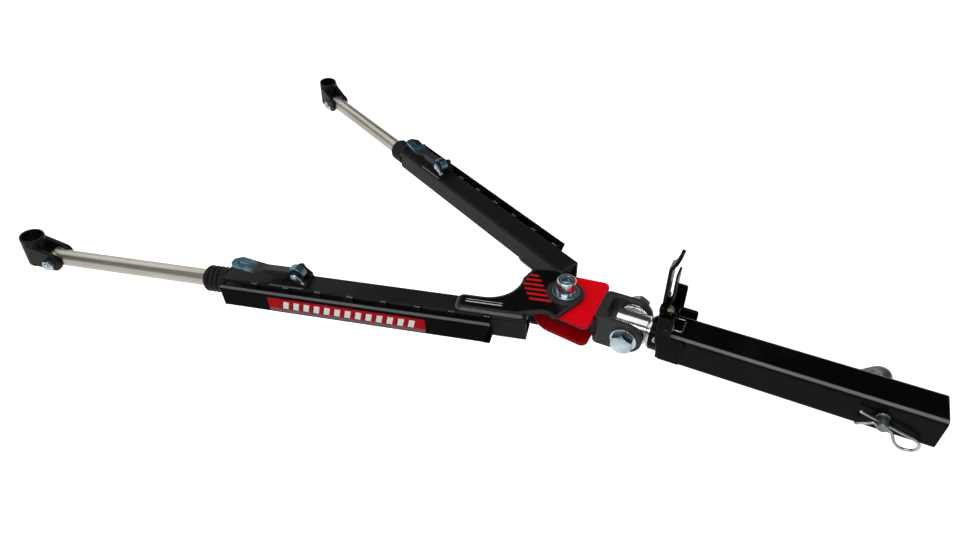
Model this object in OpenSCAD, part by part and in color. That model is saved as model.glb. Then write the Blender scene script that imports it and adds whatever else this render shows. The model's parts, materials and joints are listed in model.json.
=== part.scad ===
// A-frame tow bar: receiver shank, swivel, clevis yoke and two telescoping arms.
// Millimetres. The origin is the hitch pin hole's centre on the shank's axis,
// +X runs along the shank into the receiver and +Z is up.

/* [Receiver shank] */
// Outside width of the square shank tube
shank_w = 50.8; // [46:0.2:58]
// Wall of the shank tube
shank_wall = 6.35; // [4.5:0.05:7.5]
// Outside corner radius of the shank tube
shank_corner = 7; // [3:0.5:9]
// Length of the shank tube
shank_len = 345; // [280:1:450]
// Hitch pin hole centre to the shank's rear end
pin_setback = 62.8; // [45:0.2:90]

/* [Hitch pin] */
// Diameter of the hitch pin
pin_d = 15.9; // [12:0.1:18]
// How far the pin stands out on the clip side
pin_clip_out = 18; // [15:0.5:26]
// How far the pin's axis runs past the shank before its bend
pin_bend_out = 22; // [8:0.5:30]
// Radius of the pin's bend, to its axis
pin_bend_r = 16; // [13:0.5:24]
// Length of the straight handle after the bend
pin_handle_len = 30; // [15:1:60]
// Angle of the handle below level
pin_handle_drop = 45; // [0:5:90]
// Wire diameter of the hairpin clip
clip_wire = 4; // [3:0.1:4.6]
// Length of the clip's straight leg from the pin to the clip's bow
clip_leg = 38; // [34:1:48]
// Length of the clip's straight leg past the pin
clip_tail = 29; // [24:1:40]

/* [Stow latch] */
// Thickness of the two cheek plates
cheek_t = 5; // [3:0.5:8]
// Length of the near cheek plate along the shank
near_cheek_len = 39; // [36:1:50]
// Length of the far cheek plate along the shank
far_cheek_len = 44; // [38:1:56]
// Length of the near cheek's tall tab
near_tab_len = 20; // [19.5:0.5:24]
// Length of the far cheek's tall tab
far_tab_len = 17; // [16.5:0.5:22]
// Height of the near tab above the shank's axis
near_tab_z = 58; // [54:1:70]
// Height of the far tab above the shank's axis
far_tab_z = 75; // [58:1:85]
// Height of the near cheek's rear step above the shank's axis
near_step_z = 24.5; // [18:0.5:30]
// Height of the far cheek's rear step above the shank's axis
far_step_z = 35; // [28:0.5:42]
// Diameter of the latch's pivot pin
stow_pin_d = 8; // [6:0.5:9]
// Height of the latch's pivot above the top of the shank
stow_pivot_up = 9; // [8.6:0.1:11]
// Thickness of the latch lever's strip
lever_t = 4.6; // [3:0.1:6]
// Width of the latch lever's strip
lever_w = 25; // [20:1:30]
// Height of the lever's first bend above the shank's axis
lever_bend_z = 126; // [100:1:140]
// Height of the lever's tip above the shank's axis
lever_tip_z = 157; // [150:1:180]
// How far the lever's tip leans back
lever_lean = 10.5; // [8:0.5:22]
// Wire diameter of the double torsion spring
spring_wire = 2.6; // [2:0.1:2.8]
// Turns in each of the spring's two coils
spring_turns = 3; // [2:1:3]

/* [Swivel] */
// Diameter of the swivel's eye bar
eye_bar_d = 42; // [38:0.5:44]
// Width across the flats milled on the eye bar
eye_flats_w = 39; // [34:0.5:40]
// Diameter of the swivel's shaft inside the shank
swivel_shaft_d = 30; // [24:0.5:32]
// Length of the front bush inside the shank
bush_len = 70; // [40:1:100]
// Diameter of the front bush's collar
collar_d = 49; // [46:0.5:50]
// Thickness of the front bush's collar
collar_t = 13; // [10:0.1:16]

/* [Clevis yoke] */
// Height of the clevis block
yoke_h = 50.8; // [46:0.2:56]
// Width of the clevis block across its ears
yoke_w = 64; // [62:0.5:76]
// Clevis bolt axis to the arms' pivot axis
yoke_len = 100; // [98:1:120]
// Clevis bolt axis to the red plates' end of the block
block_len = 47; // [44:0.5:52]
// Thickness of the thrust washers beside the eye
thrust_t = 3.4; // [2:0.1:5]
// Diameter of the clevis bolt and of the arms' pivot bolt
bolt_d = 19.05; // [16:0.05:20]
// Thickness of the yoke's tongue
tongue_t = 25.4; // [20:0.2:30]
// Thickness of each red plate
red_t = 6; // [4:0.1:8]
// Width of the red plates
red_w = 104; // [90:1:112]
// Diameter of the socket head on the arms' pivot bolt
socket_head_d = 28.4; // [26:0.1:32]
// Height of the socket head
socket_head_h = 21.5; // [16:0.5:24]
// Diameter of the pivot bolt's washers
pivot_washer_d = 40; // [36:0.5:44]
// Thickness of all flat bolt washers
washer_t = 3; // [2:0.1:4]

/* [Arms] */
// Angle of the near arm from straight back
near_yaw = 14.05; // [4:0.05:40]
// Angle of the far arm from straight back
far_yaw = 26.6; // [4:0.05:40]
// Outside width of the square arm tubes
tube_w = 38.1; // [36:0.1:41]
// Wall of the arm tubes
tube_wall = 4; // [3:0.1:4.6]
// Outside corner radius of the arm tubes
tube_corner = 4; // [2:0.5:5]
// Pivot axis to the near end of the arm tubes
tube_start = 46.8; // [45.5:0.1:52]
// Pivot axis to the rod end of the arm tubes
tube_end = 526; // [500:1:560]
// Pivot axis's offset from the tubes' inner faces
tube_inset = 30.2; // [29:0.1:34]
// Thickness of the pivot plates
plate_t = 4.76; // [3.5:0.01:7]
// Length of the pivot plates along their tubes
plate_end = 152; // [140:1:180]

/* [Cable channels] */
// Width of the cable channels beside the tubes
channel_w = 17; // [15.5:0.5:24]
// Sheet thickness of the cable channels
channel_t = 2.5; // [2:0.1:3]
// Pivot axis to the channels' near end
channel_start = 96.5; // [90:0.5:104]
// Pivot axis to the channels' rod end
channel_end = 519; // [505:1:525]
// Number of slots in each channel's top
slot_count = 8; // [4:1:8]
// Distance between slot centres
slot_pitch = 52.3; // [48:0.1:53]
// Length of each slot
slot_len = 38; // [28:0.5:42]
// Width of each slot
slot_w = 10; // [8:0.1:11]
// Channel's near end to the first slot's centre
slot_lead = 33.3; // [26:0.1:36]

/* [Rods] */
// Diameter of the sliding rods
rod_d = 26.7; // [24:0.1:27.5]
// Rod end boot's outside diameter
boot_d = 42; // [38:0.5:46]
// Length of the boot past the tube's end
boot_len = 39; // [32:0.5:46]
// Number of ribs round the boot
boot_ribs = 4; // [2:1:5]
// Pivot axis to the eye bolt, rods drawn out as at rest
eye_bolt_u = 847; // [838:1:880]
// How far a rod can still be drawn out from rest
rod_out = 12; // [8:0.5:20]
// Pivot axis to the rod's inner end
rod_tail_u = 392; // [370:1:398]

/* [Arm latches] */
// Pivot axis to the latch lever's pin
latch_u = 403; // [395:1:440]
// Diameter of the lever's hub
hub_d = 26; // [23:0.5:29]
// Width of the lever's hub
hub_w = 13; // [10:0.5:15]
// Diameter of the lever's pin
latch_pin_d = 8; // [6:0.5:10]
// Lever pin to the lever's tip
latch_reach = 101; // [92:1:114]
// Width of the lever's thumb plate
thumb_w = 24; // [20:0.5:30]
// How far the thumb plate's middle lies to the keeper's side
thumb_shift = 4; // [0:0.1:5]
// Diameter of the lock plunger
plunger_d = 9; // [7:0.5:10]
// Lever pin to the plunger's axis
plunger_lead = 22; // [21.5:0.5:24]

/* [End eyes] */
// Outside diameter of the end eyes' upright tubes
eye_d = 37; // [34:0.5:42]
// Bore of the end eyes
eye_bore = 30; // [20:0.5:31]
// Height of the upright tubes
eye_h = 53; // [46:0.5:60]
// Eye bolt to the upright tube's axis
eye_reach = 38; // [37:0.5:50]
// How far the upright tube's middle lies above the eye bolt
eye_rise = 7.5; // [4:0.5:14]
// How far the end eyes are tipped up at rest
eye_tip = 8.6; // [0:0.2:15]
// Thickness of the ears
ear_t = 7.5; // [6:0.5:10]
// Radius of the ears round the bolt
ear_r = 17; // [13:0.5:18]
// Half the width of the fork between the ears
ear_in = 11; // [9:0.5:12.5]
// Diameter of the eye bolts
eye_bolt_d = 11; // [10:0.1:13]

/* [Clearances] */
// Radial clearance of pins, bolts and shafts in their bores
fit = 0.05; // [0.02:0.01:0.1]
// Clearance between neighbouring pieces that don't fit together
gap = 0.3; // [0.2:0.05:0.5]
// Height between the two arms' middle planes, halved
arm_lift = 0.4; // [0.3:0.05:0.6]

/* [Hidden] */
$fn = 64;
black = [0.07, 0.07, 0.075];
zinc = [0.62, 0.66, 0.70];
steel = [0.72, 0.70, 0.66];
red = [0.82, 0.04, 0.12];

half = shank_w / 2;
inner = shank_w - 2 * shank_wall;
shank_x1 = pin_setback;
shank_x0 = shank_x1 - shank_len;

// Swivel and clevis stations along X
collar_x0 = shank_x0 - collar_t;
flange_t = 3.4;
flange_d = eye_bar_d + 3;
groove_t = 2.3;
flange_x0 = collar_x0 - gap - flange_t;
groove_x0 = flange_x0 - groove_t;
window_half = eye_flats_w / 2 + thrust_t + 2 * fit;
thrust_d = eye_bar_d;
eye_room = 7;
bolt_x = flange_x0 - eye_bar_d / 2 - eye_room - gap;
pivot_x = bolt_x - yoke_len;
eye_tail = 19;
swivel_nut_af = 30;
swivel_nut_h = 18;
swivel_thread_d = 22;
bush_x1 = shank_x0 + bush_len;

// Heights of the stack on the arms' pivot bolt
tongue_half = tongue_t / 2;
red_top = tongue_half + red_t;
tube_half = tube_w / 2;
plate_z0 = tube_half + arm_lift;
plate_z1 = plate_z0 + plate_t;
disc_t = plate_z0 - red_top;
disc_d = 44;

// Arm stations: u along the arm, w outwards
rod_w = tube_inset + tube_half;
tube_bore = tube_w - 2 * tube_wall;
rod_r = rod_d / 2;
base_t = 2.5;
latch_z = tube_half + base_t + gap + hub_d / 2;
latch_cheek_t = 2.5;
plunger_u = latch_u + plunger_lead;
guide_len = 40;
collar_len = 30;

// Stow latch stations
latch_lead = 5;
lever_x0 = shank_x0 - latch_lead;
cheek_x0 = lever_x0 + 1;
cheek_y = half;
pawl_half = 10.5;
pawl_t = 3;
pawl_h = 32;
lever_foot = 3;
lever_base_h = 32;
lever_tip_w = 9;
lever_neck_w = 15;
riser_gap = 5.5;
riser_step = 11;
riser_under_bend = 8;
stow_bolt_rise = 19;
stow_bolt_y = -6;
stow_bolt_d = 8;
coil_r = stow_pivot_up - spring_wire / 2 - gap;
coil_y = pawl_half + spring_wire / 2 + 0.7;
spring_pitch = spring_wire + 0.6;
stow_x = lever_x0 + lever_t + gap + spring_wire / 2 + coil_r;
stow_z = half + stow_pivot_up;

// Shared shapes

// Square with round corners, centred
module round_square(w, h, r) {
    square([w - 2 * r, h], center = true);
    square([w, h - 2 * r], center = true);
    for (x = [-1, 1], y = [-1, 1])
        translate([x * (w / 2 - r), y * (h / 2 - r)]) circle(r);
}

// Square tube along +X with its middle on the X axis
module tube_x(w, wall, r, x0, x1) {
    translate([x0, 0, 0]) rotate([90, 0, 90]) linear_extrude(x1 - x0) difference() {
        round_square(w, w, r);
        round_square(w - 2 * wall, w - 2 * wall, max(r - wall, 0.5));
    }
}

// Cylinder along X, Y or Z that starts at a point
module rod_x(d, x0, x1) translate([x0, 0, 0]) rotate([0, 90, 0]) cylinder(d = d, h = x1 - x0);
module rod_y(d, y0, y1) translate([0, y0, 0]) rotate([-90, 0, 0]) cylinder(d = d, h = y1 - y0);
module rod_z(d, z0, z1) translate([0, 0, z0]) cylinder(d = d, h = z1 - z0);

// Hexagon prism along +Z, af across its flats
module hex_z(af, z0, z1) translate([0, 0, z0]) cylinder(d = af / cos(30), h = z1 - z0, $fn = 6);

// Flat washer along Z
module washer_z(d, bore, z0, t) {
    difference() {
        rod_z(d, z0, z0 + t);
        rod_z(bore, z0 - 1, z0 + t + 1);
    }
}

// A profile in the XZ plane, drawn as x and z, given a thickness from y0 towards +Y
module plate_xz(y0, t) translate([0, y0 + t, 0]) rotate([90, 0, 0]) linear_extrude(t) children();

// Unit vector, and a smooth curve through hand-set points
function unit(v) = v / norm(v);
function curve_at(p, i, t) =
    let (n = len(p), a = p[max(i - 1, 0)], b = p[i], c = p[i + 1], d = p[min(i + 2, n - 1)])
    0.5 * (2 * b + (c - a) * t + (2 * a - 5 * b + 4 * c - d) * t * t + (3 * b - a - 3 * c + d) * t * t * t);
function curve(p, steps) = concat(
    [for (i = [0:len(p) - 2], k = [0:steps - 1]) curve_at(p, i, k / steps)], [p[len(p) - 1]]);

// Ring normals carried along a path without twist
function tangent(p, i) = unit(p[min(i + 1, len(p) - 1)] - p[max(i - 1, 0)]);
function carried(n, t) = unit(n - (n * t) * t);
function normals(p, n0) =
    [for (i = 0, n = carried(n0, tangent(p, 0)); i < len(p); i = i + 1,
          n = i < len(p) ? carried(n, tangent(p, i)) : n) n];

// Round wire of diameter d swept along a path
module wire(p, d, n0, sides) {
    ns = normals(p, n0);
    rings = [for (i = [0:len(p) - 1], k = [0:sides - 1])
        let (t = tangent(p, i), a = 360 * k / sides)
        p[i] + d / 2 * (cos(a) * ns[i] + sin(a) * cross(t, ns[i]))];
    last = (len(p) - 1) * sides;
    faces = concat(
        [for (i = [0:len(p) - 2], k = [0:sides - 1]) let (a = i * sides + k, b = i * sides + (k + 1) % sides)
            each [[a, a + sides, b], [b, a + sides, b + sides]]],
        [for (k = [1:sides - 2]) [0, k, k + 1]],
        [for (k = [1:sides - 2]) [last, last + k + 1, last + k]]);
    polyhedron(rings, faces);
}

// Shank and its fittings

module shank_tube() color(black) difference() {
    tube_x(shank_w, shank_wall, shank_corner, shank_x0, shank_x1);
    rod_y(pin_d + 0.8, -shank_w, shank_w);
}

module front_bush() color(black) difference() {
    union() {
        rod_x(collar_d, collar_x0, shank_x0);
        translate([shank_x0 - 1, 0, 0]) rotate([90, 0, 90])
            linear_extrude(bush_len + 1) round_square(inner - 2 * fit, inner - 2 * fit, 1);
    }
    rod_x(swivel_shaft_d + 2 * fit, collar_x0 - 1, bush_x1 + 1);
    collar_screw_place() rod_z(6 + 2 * fit, -6, 8);
}

// The screw's axis: radial in the collar, on its near upper side
collar_screw_head = 8;
collar_screw_back = collar_screw_head / 2 + gap;
collar_screw_turn = 70;

module collar_screw_place()
    translate([shank_x0 - collar_screw_back, 0, 0]) rotate([collar_screw_turn, 0, 0])
        translate([0, 0, collar_d / 2]) children();

module collar_screw() color(zinc) collar_screw_place() {
    rod_z(6, -6, 1.2);
    intersection() {
        translate([0, 0, -3.4]) sphere(d = 11.6);
        rod_z(collar_screw_head, 0.2, 6);
    }
}

// Cheek: a low pad on the shank's side with a raked front, and a tall tab
cheek_rake = 7;

module cheek_outline(length, step_z, tab_x, tab_len, tab_z) {
    r = 4;
    low_z = shank_corner - half + r;
    hull() {
        translate([cheek_x0 + cheek_rake + r, low_z]) circle(r);
        translate([cheek_x0 + length - r, low_z]) circle(r);
        translate([cheek_x0 + length - r, step_z - r]) circle(r);
        translate([cheek_x0 + tab_x + r, step_z - r]) circle(r);
    }
    hull() {
        for (z = [half - 3 * r, tab_z - r], x = [tab_x + r, tab_x + tab_len - r])
            translate([cheek_x0 + x, z]) circle(r);
    }
}

module cheek_hole(y0) translate([stow_x, 0, stow_z]) rod_y(stow_pin_d + 2 * fit, y0 - 1, y0 + cheek_t + 1);

module near_cheek() color(black) difference() {
    plate_xz(-cheek_y - cheek_t, cheek_t)
        cheek_outline(near_cheek_len, near_step_z, 0, near_tab_len, near_tab_z);
    cheek_hole(-cheek_y - cheek_t);
}

module far_cheek() color(black) difference() {
    plate_xz(cheek_y, cheek_t) cheek_outline(far_cheek_len, far_step_z, far_tab_x, far_tab_len, far_tab_z);
    cheek_hole(cheek_y);
}

far_tab_x = 6;

module stow_pin() color(zinc) translate([stow_x, 0, stow_z])
    rod_y(stow_pin_d, -cheek_y - cheek_t, cheek_y + cheek_t);

// Double torsion spring: a leg up the lever's back, a coil, a loop on the shank's top,
// the other coil and the other leg, all one wire. The legs lean back by the lever's swing.
spring_loop = 19;
spring_leg = 15;
spring_lean = 22.5;
function coil_point(a, y) = [stow_x + coil_r * sin(a), y, stow_z - coil_r * cos(a)];
function spring_half(side) = concat(
    [for (k = [0:2]) coil_point(0, side * coil_y) + [spring_loop * (1 - k / 3), 0, 0]],
    [for (k = [0:8 * spring_turns + 2]) coil_point(-45 * k, side * (coil_y + spring_pitch * k / 8))],
    [for (k = [0:3]) coil_point(-90 - spring_lean, side * (coil_y + spring_pitch * (spring_turns + 0.32)))
        + spring_leg * k / 3 * [sin(spring_lean), 0, cos(spring_lean)]]);
function reversed(p) = [for (i = [len(p) - 1:-1:0]) p[i]];
spring_path = concat(reversed(spring_half(-1)), spring_half(1));
spring_gap = min([for (i = [0:len(spring_path) - 1], j = [i + 6:1:len(spring_path) - 1])
    norm(spring_path[i] - spring_path[j])]) - spring_wire;
echo(spring_least_gap = spring_gap);

module stow_spring() color(steel) wire(spring_path, spring_wire, [0, 1, 0.2], 6);

// Stow latch

lever_rise = lever_tip_z - lever_bend_z;
lever_profile = [
    [0, half + lever_foot], [0, lever_bend_z], [0.56 * lever_lean, lever_bend_z + 0.37 * lever_rise],
    [0.84 * lever_lean, lever_bend_z + 0.71 * lever_rise], [lever_lean, lever_tip_z],
];

// Strip of thickness lever_t whose front face follows lever_profile
module lever_strip() translate([lever_x0, 0]) {
    p = lever_profile;
    polygon(concat(p, [for (i = [len(p) - 1:-1:0]) p[i] + [lever_t, i == 0 ? 0 : -lever_t * 0.3]]));
}

// Wedge cut across the lever, drawn as y and z
module lever_trim(outline) translate([lever_x0 - 1, 0, 0]) rotate([90, 0, 90])
    linear_extrude(lever_lean + lever_t + 2) polygon(outline);

module stow_bolt_place() translate([0, stow_bolt_y, stow_z + stow_bolt_rise]) children();

module stow_lever() color(black) difference() {
    edge = lever_w / 2;
    union() {
        plate_xz(-edge, lever_w) lever_strip();
        translate([lever_x0, 1 - cheek_y, half + lever_foot]) cube([lever_t, 2 * cheek_y - 2, lever_base_h]);
    }
    stow_bolt_place() rod_x(stow_bolt_d + 2 * fit, lever_x0 - 1, lever_x0 + lever_t + 1);
    lever_trim([
        [edge + 1, lever_bend_z - 4], [edge + 1, lever_tip_z + 1],
        [lever_tip_w - edge, lever_tip_z + 1], [lever_neck_w - edge, lever_bend_z + 7],
    ]);
    lever_trim([[-edge - 1, lever_tip_z - 6], [5 - edge, lever_tip_z + 1], [-edge - 1, lever_tip_z + 1]]);
}

// Pawl: a hub on the pin, a plate against the lever and a riser that stands off behind the lever
module pawl_riser(back, low) {
    front = back + riser_gap;
    top = lever_bend_z - riser_under_bend;
    polygon([
        [back, low], [front, low + riser_step], [front, top], [front + pawl_t, top],
        [front + pawl_t, low + riser_step - 1], [back + pawl_t, low],
    ]);
}

module stow_pawl() color(black) difference() {
    back = lever_x0 + lever_t;
    union() {
        translate([stow_x, 0, stow_z]) rod_y(stow_pin_d + 6, -pawl_half, pawl_half);
        translate([back, -pawl_half, stow_z - 4]) cube([pawl_t, 2 * pawl_half, pawl_h]);
        translate([back, -pawl_half, stow_z - 4]) cube([stow_x - back, 2 * pawl_half, 9]);
        plate_xz(-pawl_half, 2 * pawl_half) pawl_riser(back, stow_z - 4 + pawl_h - 1);
    }
    translate([stow_x, 0, stow_z]) rod_y(stow_pin_d + 2 * fit, -pawl_half - 1, pawl_half + 1);
    stow_bolt_place() rod_x(stow_bolt_d + 2 * fit, lever_x0, lever_x0 + 30);
}

module stow_bolt() color([0.75, 0.68, 0.45]) stow_bolt_place() {
    x1 = lever_x0 + lever_t + pawl_t;
    rod_x(stow_bolt_d, lever_x0 - 1, x1 + 9);
    translate([lever_x0, 0, 0]) rotate([0, -90, 0]) rod_z(14, 0, 3);
    translate([x1, 0, 0]) rotate([0, 90, 0]) hex_z(13, 0, 6.5);
}

// Hitch pin and clip

clip_y = -half - pin_clip_out / 2 + 1.5;
bend_d = pin_d - 0.2;
bend_lap = 0.3;

// Straight pin, a bend that is drawn a little thinner, and a straight handle
module hitch_pin() color(zinc) difference() {
    union() {
        rod_y(pin_d, -half - pin_clip_out + 2, half + pin_bend_out + bend_lap);
        translate([0, -half - pin_clip_out, 0]) rotate([-90, 0, 0])
            cylinder(d1 = pin_d - 4, d2 = pin_d, h = 2);
        translate([0, half + pin_bend_out, 0]) rotate([0, -pin_handle_drop, 0]) {
            translate([-pin_bend_r, 0, 0]) rotate_extrude(angle = 90)
                translate([pin_bend_r, 0]) circle(d = bend_d);
            translate([bend_lap - pin_bend_r, pin_bend_r, 0]) rotate([0, -90, 0])
                cylinder(d = pin_d, h = pin_handle_len + bend_lap);
            translate([-pin_bend_r - pin_handle_len, pin_bend_r, 0]) rotate([0, -90, 0])
                cylinder(d1 = pin_d, d2 = pin_d - 4, h = 2);
        }
    }
    translate([0, clip_y, 0]) rotate([0, clip_tilt, 0]) rod_x(clip_wire + 2 * gap, -pin_d, pin_d);
}

// Hairpin in its own plane: x along the straight leg, z across it
clip_tilt = 16;
clip_wrap = pin_d / 2 + clip_wire / 2 + gap;
clip_points = [
    [-clip_tail, 0], [-clip_tail / 2, 0], [0, 0], [clip_leg / 2, 0], [clip_leg + 4, -1], [clip_leg + 12, -8],
    [clip_leg + 10, -18], [clip_leg, -23], [clip_leg - 10, -20], [pin_d - 1, -clip_wire - 3],
    [clip_wrap * 0.75, -clip_wrap * 0.72], [0, -clip_wrap], [-clip_wrap * 0.75, -clip_wrap * 0.72],
    [3 - pin_d, -clip_wrap - 4], [7 - clip_tail, -clip_wrap - 14],
];

module hairpin_clip() color(steel) translate([0, clip_y, 0]) rotate([0, clip_tilt, 0])
    wire(curve([for (p = clip_points) [p[0], 0, p[1]]], 4), clip_wire, [0, 1, 0], 8);

// Swivel

module swivel() color(steel) difference() {
    union() {
        intersection() {
            rod_x(eye_bar_d, bolt_x - eye_tail, groove_x0);
            translate([bolt_x - eye_tail - 1, -eye_flats_w / 2, -eye_bar_d])
                cube([groove_x0 - bolt_x + eye_tail + 2, eye_flats_w, 2 * eye_bar_d]);
        }
        rod_x(eye_bar_d - 8, groove_x0 - 1, flange_x0 + 1);
        rod_x(flange_d, flange_x0, flange_x0 + flange_t);
        rod_x(swivel_shaft_d, flange_x0 + 1, bush_x1 + gap);
        rod_x(swivel_thread_d, bush_x1 - 2, bush_x1 + gap + washer_t + swivel_nut_h + 4);
    }
    translate([bolt_x, 0, 0]) rod_y(bolt_d + 2 * fit, -eye_bar_d, eye_bar_d);
}

module on_swivel_axis() translate([bush_x1 + gap, 0, 0]) rotate([0, 90, 0]) children();

module swivel_washer() color(zinc) on_swivel_axis()
    washer_z(inner - 4, swivel_thread_d + 2 * fit, 0, washer_t);

module swivel_nut() color(zinc) on_swivel_axis() difference() {
    hex_z(swivel_nut_af, washer_t, washer_t + swivel_nut_h);
    rod_z(swivel_thread_d + 2 * fit, 0, washer_t + swivel_nut_h + 1);
}

// Clevis yoke

module at_bolt() translate([bolt_x, 0, 0]) children();
module at_pivot() translate([pivot_x, 0, 0]) children();

window_wall = 32;
yoke_corner = 9;
tongue_w = 60;

module yoke() color(black) difference() {
    union() {
        at_bolt() rod_y(yoke_h, -yoke_w / 2, yoke_w / 2);
        translate([bolt_x - block_len + yoke_corner, -yoke_w / 2, -yoke_h / 2])
            cube([block_len - yoke_corner, yoke_w, yoke_h]);
        translate([bolt_x - block_len, yoke_corner - yoke_w / 2, -yoke_h / 2])
            cube([2 * yoke_corner, yoke_w - 2 * yoke_corner, yoke_h]);
        for (side = [-1, 1])
            translate([bolt_x - block_len + yoke_corner, side * (yoke_w / 2 - yoke_corner), -yoke_h / 2])
                cylinder(r = yoke_corner, h = yoke_h);
        at_pivot() rod_z(tongue_w, -tongue_half, tongue_half);
        translate([pivot_x, -tongue_w / 2, -tongue_half])
            cube([yoke_len - block_len + yoke_corner, tongue_w, tongue_t]);
    }
    translate([bolt_x + yoke_h / 2 - window_wall, 0, -yoke_h]) linear_extrude(2 * yoke_h)
        round_square(yoke_h, 2 * window_half, 10);
    translate([bolt_x, -window_half, -yoke_h]) cube([yoke_h, 2 * window_half, 2 * yoke_h]);
    at_bolt() rod_y(bolt_d + 2 * fit, -yoke_w, yoke_w);
    at_pivot() rod_z(bolt_d + 2 * fit, -yoke_h, yoke_h);
}

// Red plate: round nose at the pivot, square end against the clevis block
module red_outline(w) {
    r = 10;
    x1 = yoke_len - block_len - gap;
    difference() {
        hull() {
            circle(d = w - 12);
            for (y = [-1, 1]) translate([x1 - r, y * (w / 2 - r)]) circle(r);
        }
        circle(d = bolt_d + 6);
    }
}

module red_plate(z0, w) color(red) at_pivot() translate([0, 0, z0]) linear_extrude(red_t) red_outline(w);
module upper_red_plate() red_plate(tongue_half, red_w);
module lower_red_plate() red_plate(-red_top, red_w + 2 * lower_spread);

thrust_mid = (eye_flats_w + thrust_t + 2 * fit) / 2;

module thrust_washers() color(steel) for (side = [-1, 1]) at_bolt() rotate([90, 0, 0])
    washer_z(thrust_d, bolt_d + 2 * fit, side * thrust_mid - thrust_t / 2, thrust_t);

lower_spread = 1;
clevis_head_h = 12;
clevis_nut_h = 16;
clevis_end = 6;
bolt_af = 28.6;

module clevis_bolt() color(zinc) at_bolt() rotate([90, 0, 0]) {
    y1 = yoke_w / 2 + washer_t;
    rod_z(bolt_d, -y1 - clevis_nut_h - clevis_end, y1 + 2);
    hex_z(bolt_af, y1, y1 + clevis_head_h);
}

module clevis_washers() color(zinc) at_bolt() rotate([90, 0, 0])
    for (z0 = [-yoke_w / 2 - washer_t, yoke_w / 2])
        washer_z(pivot_washer_d - 2, bolt_d + 2 * fit, z0, washer_t);

module clevis_nut() color(zinc) at_bolt() rotate([90, 0, 0]) {
    z1 = -yoke_w / 2 - washer_t;
    difference() {
        hex_z(bolt_af, z1 - clevis_nut_h, z1);
        rod_z(bolt_d + 2 * fit, z1 - clevis_nut_h - 1, z1 + 1);
    }
}

pivot_nut_h = 17;
pivot_top = plate_z1 + washer_t;

module pivot_bolt() color(zinc) at_pivot() {
    rod_z(bolt_d, -pivot_top - pivot_nut_h - 3, pivot_top + 2);
    difference() {
        rod_z(socket_head_d, pivot_top, pivot_top + socket_head_h);
        hex_z(bolt_d * 0.83, pivot_top + socket_head_h - 11, pivot_top + socket_head_h + 1);
    }
}

module pivot_washers() color(zinc) at_pivot() for (z0 = [-pivot_top, plate_z1])
    washer_z(pivot_washer_d, bolt_d + 2 * fit, z0, washer_t);

module pivot_nut() color(zinc) at_pivot() difference() {
    hex_z(bolt_af, -pivot_top - pivot_nut_h, -pivot_top);
    rod_z(bolt_d + 2 * fit, -pivot_top - pivot_nut_h - 1, -pivot_top + 1);
}

// Plain discs that the pivot plates turn on
module pivot_discs() color([0.85, 0.85, 0.8]) at_pivot() for (z0 = [-plate_z0, red_top])
    washer_z(disc_d, bolt_d + 2 * fit, z0, disc_t);

// Arms: x is u along the arm and y is w outwards from the pivot

module on_near() translate([pivot_x, 0, arm_lift]) rotate([0, 0, 180 + near_yaw]) children();
module on_far() translate([pivot_x, 0, -arm_lift]) rotate([0, 0, 180 - far_yaw]) mirror([0, 1, 0]) children();
module on_rod() translate([0, rod_w, 0]) children();

module arm_tube() color(black) difference() {
    on_rod() tube_x(tube_w, tube_wall, tube_corner, tube_start, tube_end);
    translate([plunger_u, rod_w, 0]) rod_z(plunger_d + 2 * gap, 0, tube_w);
}

// Bent sheet with a row of slots along the edge that meets the tube
slot_end_r = 4.5;

module arm_channel() color(black) difference() {
    translate([channel_start, tube_inset + tube_w - tube_corner, -tube_half])
        cube([channel_end - channel_start, channel_w + tube_corner, tube_w]);
    translate([channel_start - 1, tube_inset + tube_half, channel_t - tube_half])
        cube([channel_end - channel_start + 2, tube_half + channel_w - channel_t, tube_w - 2 * channel_t]);
    on_rod() translate([channel_start - 1, 0, 0]) rotate([90, 0, 90])
        linear_extrude(channel_end - channel_start + 2) round_square(tube_w, tube_w, tube_corner);
    for (k = [0:slot_count - 1])
        translate([channel_start + slot_lead + k * slot_pitch, tube_inset + tube_w, 0]) slot_cut();
    plate_xz(tube_inset + tube_w + channel_w - channel_t - 1, channel_t + 2) channel_relief();
}

// Slanted cut that takes the outer wall back between the flanges at the channel's near end
relief_len = 10;

module channel_relief() {
    low = channel_t - tube_half;
    polygon([
        [channel_start - 1, low], [channel_start + relief_len, low], [channel_start + relief_len, low + 3],
        [channel_start, -low - 3], [channel_start - 1, -low - 3],
    ]);
}

module slot_cut() {
    r = slot_end_r;
    translate([0, 0, tube_half - channel_t - 1]) linear_extrude(channel_t + 2) {
        translate([-slot_len / 2, -tube_corner - 1]) square([slot_len, slot_w + tube_corner + 1 - r]);
        translate([r - slot_len / 2, 0]) square([slot_len - 2 * r, slot_w]);
        for (side = [-1, 1]) translate([side * (slot_len / 2 - r), slot_w - r]) circle(r);
    }
}

// Pivot plate: a head round the pivot with a lobe inwards, and a pad along the tube
plate_w0 = tube_inset + 2.3;
plate_w1 = tube_inset + tube_w - 7;
plate_nose = 8;
plate_head_r = 27;
plate_lobe_r = 12;
plate_lobe = [47, -35.5];
plate_ear = [9, 48.5];
plate_ear_r = 6.5;
plate_lobe_in = [22, -38];
plate_pad_u = 62;
plate_neck_u = 118;
plate_shoulder = [66.5, -22];
plate_scallop = [118, -18.3];
plate_scallop_r = 50.8;
plate_notch = [28, 64];
plate_notch_r = 17;

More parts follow.
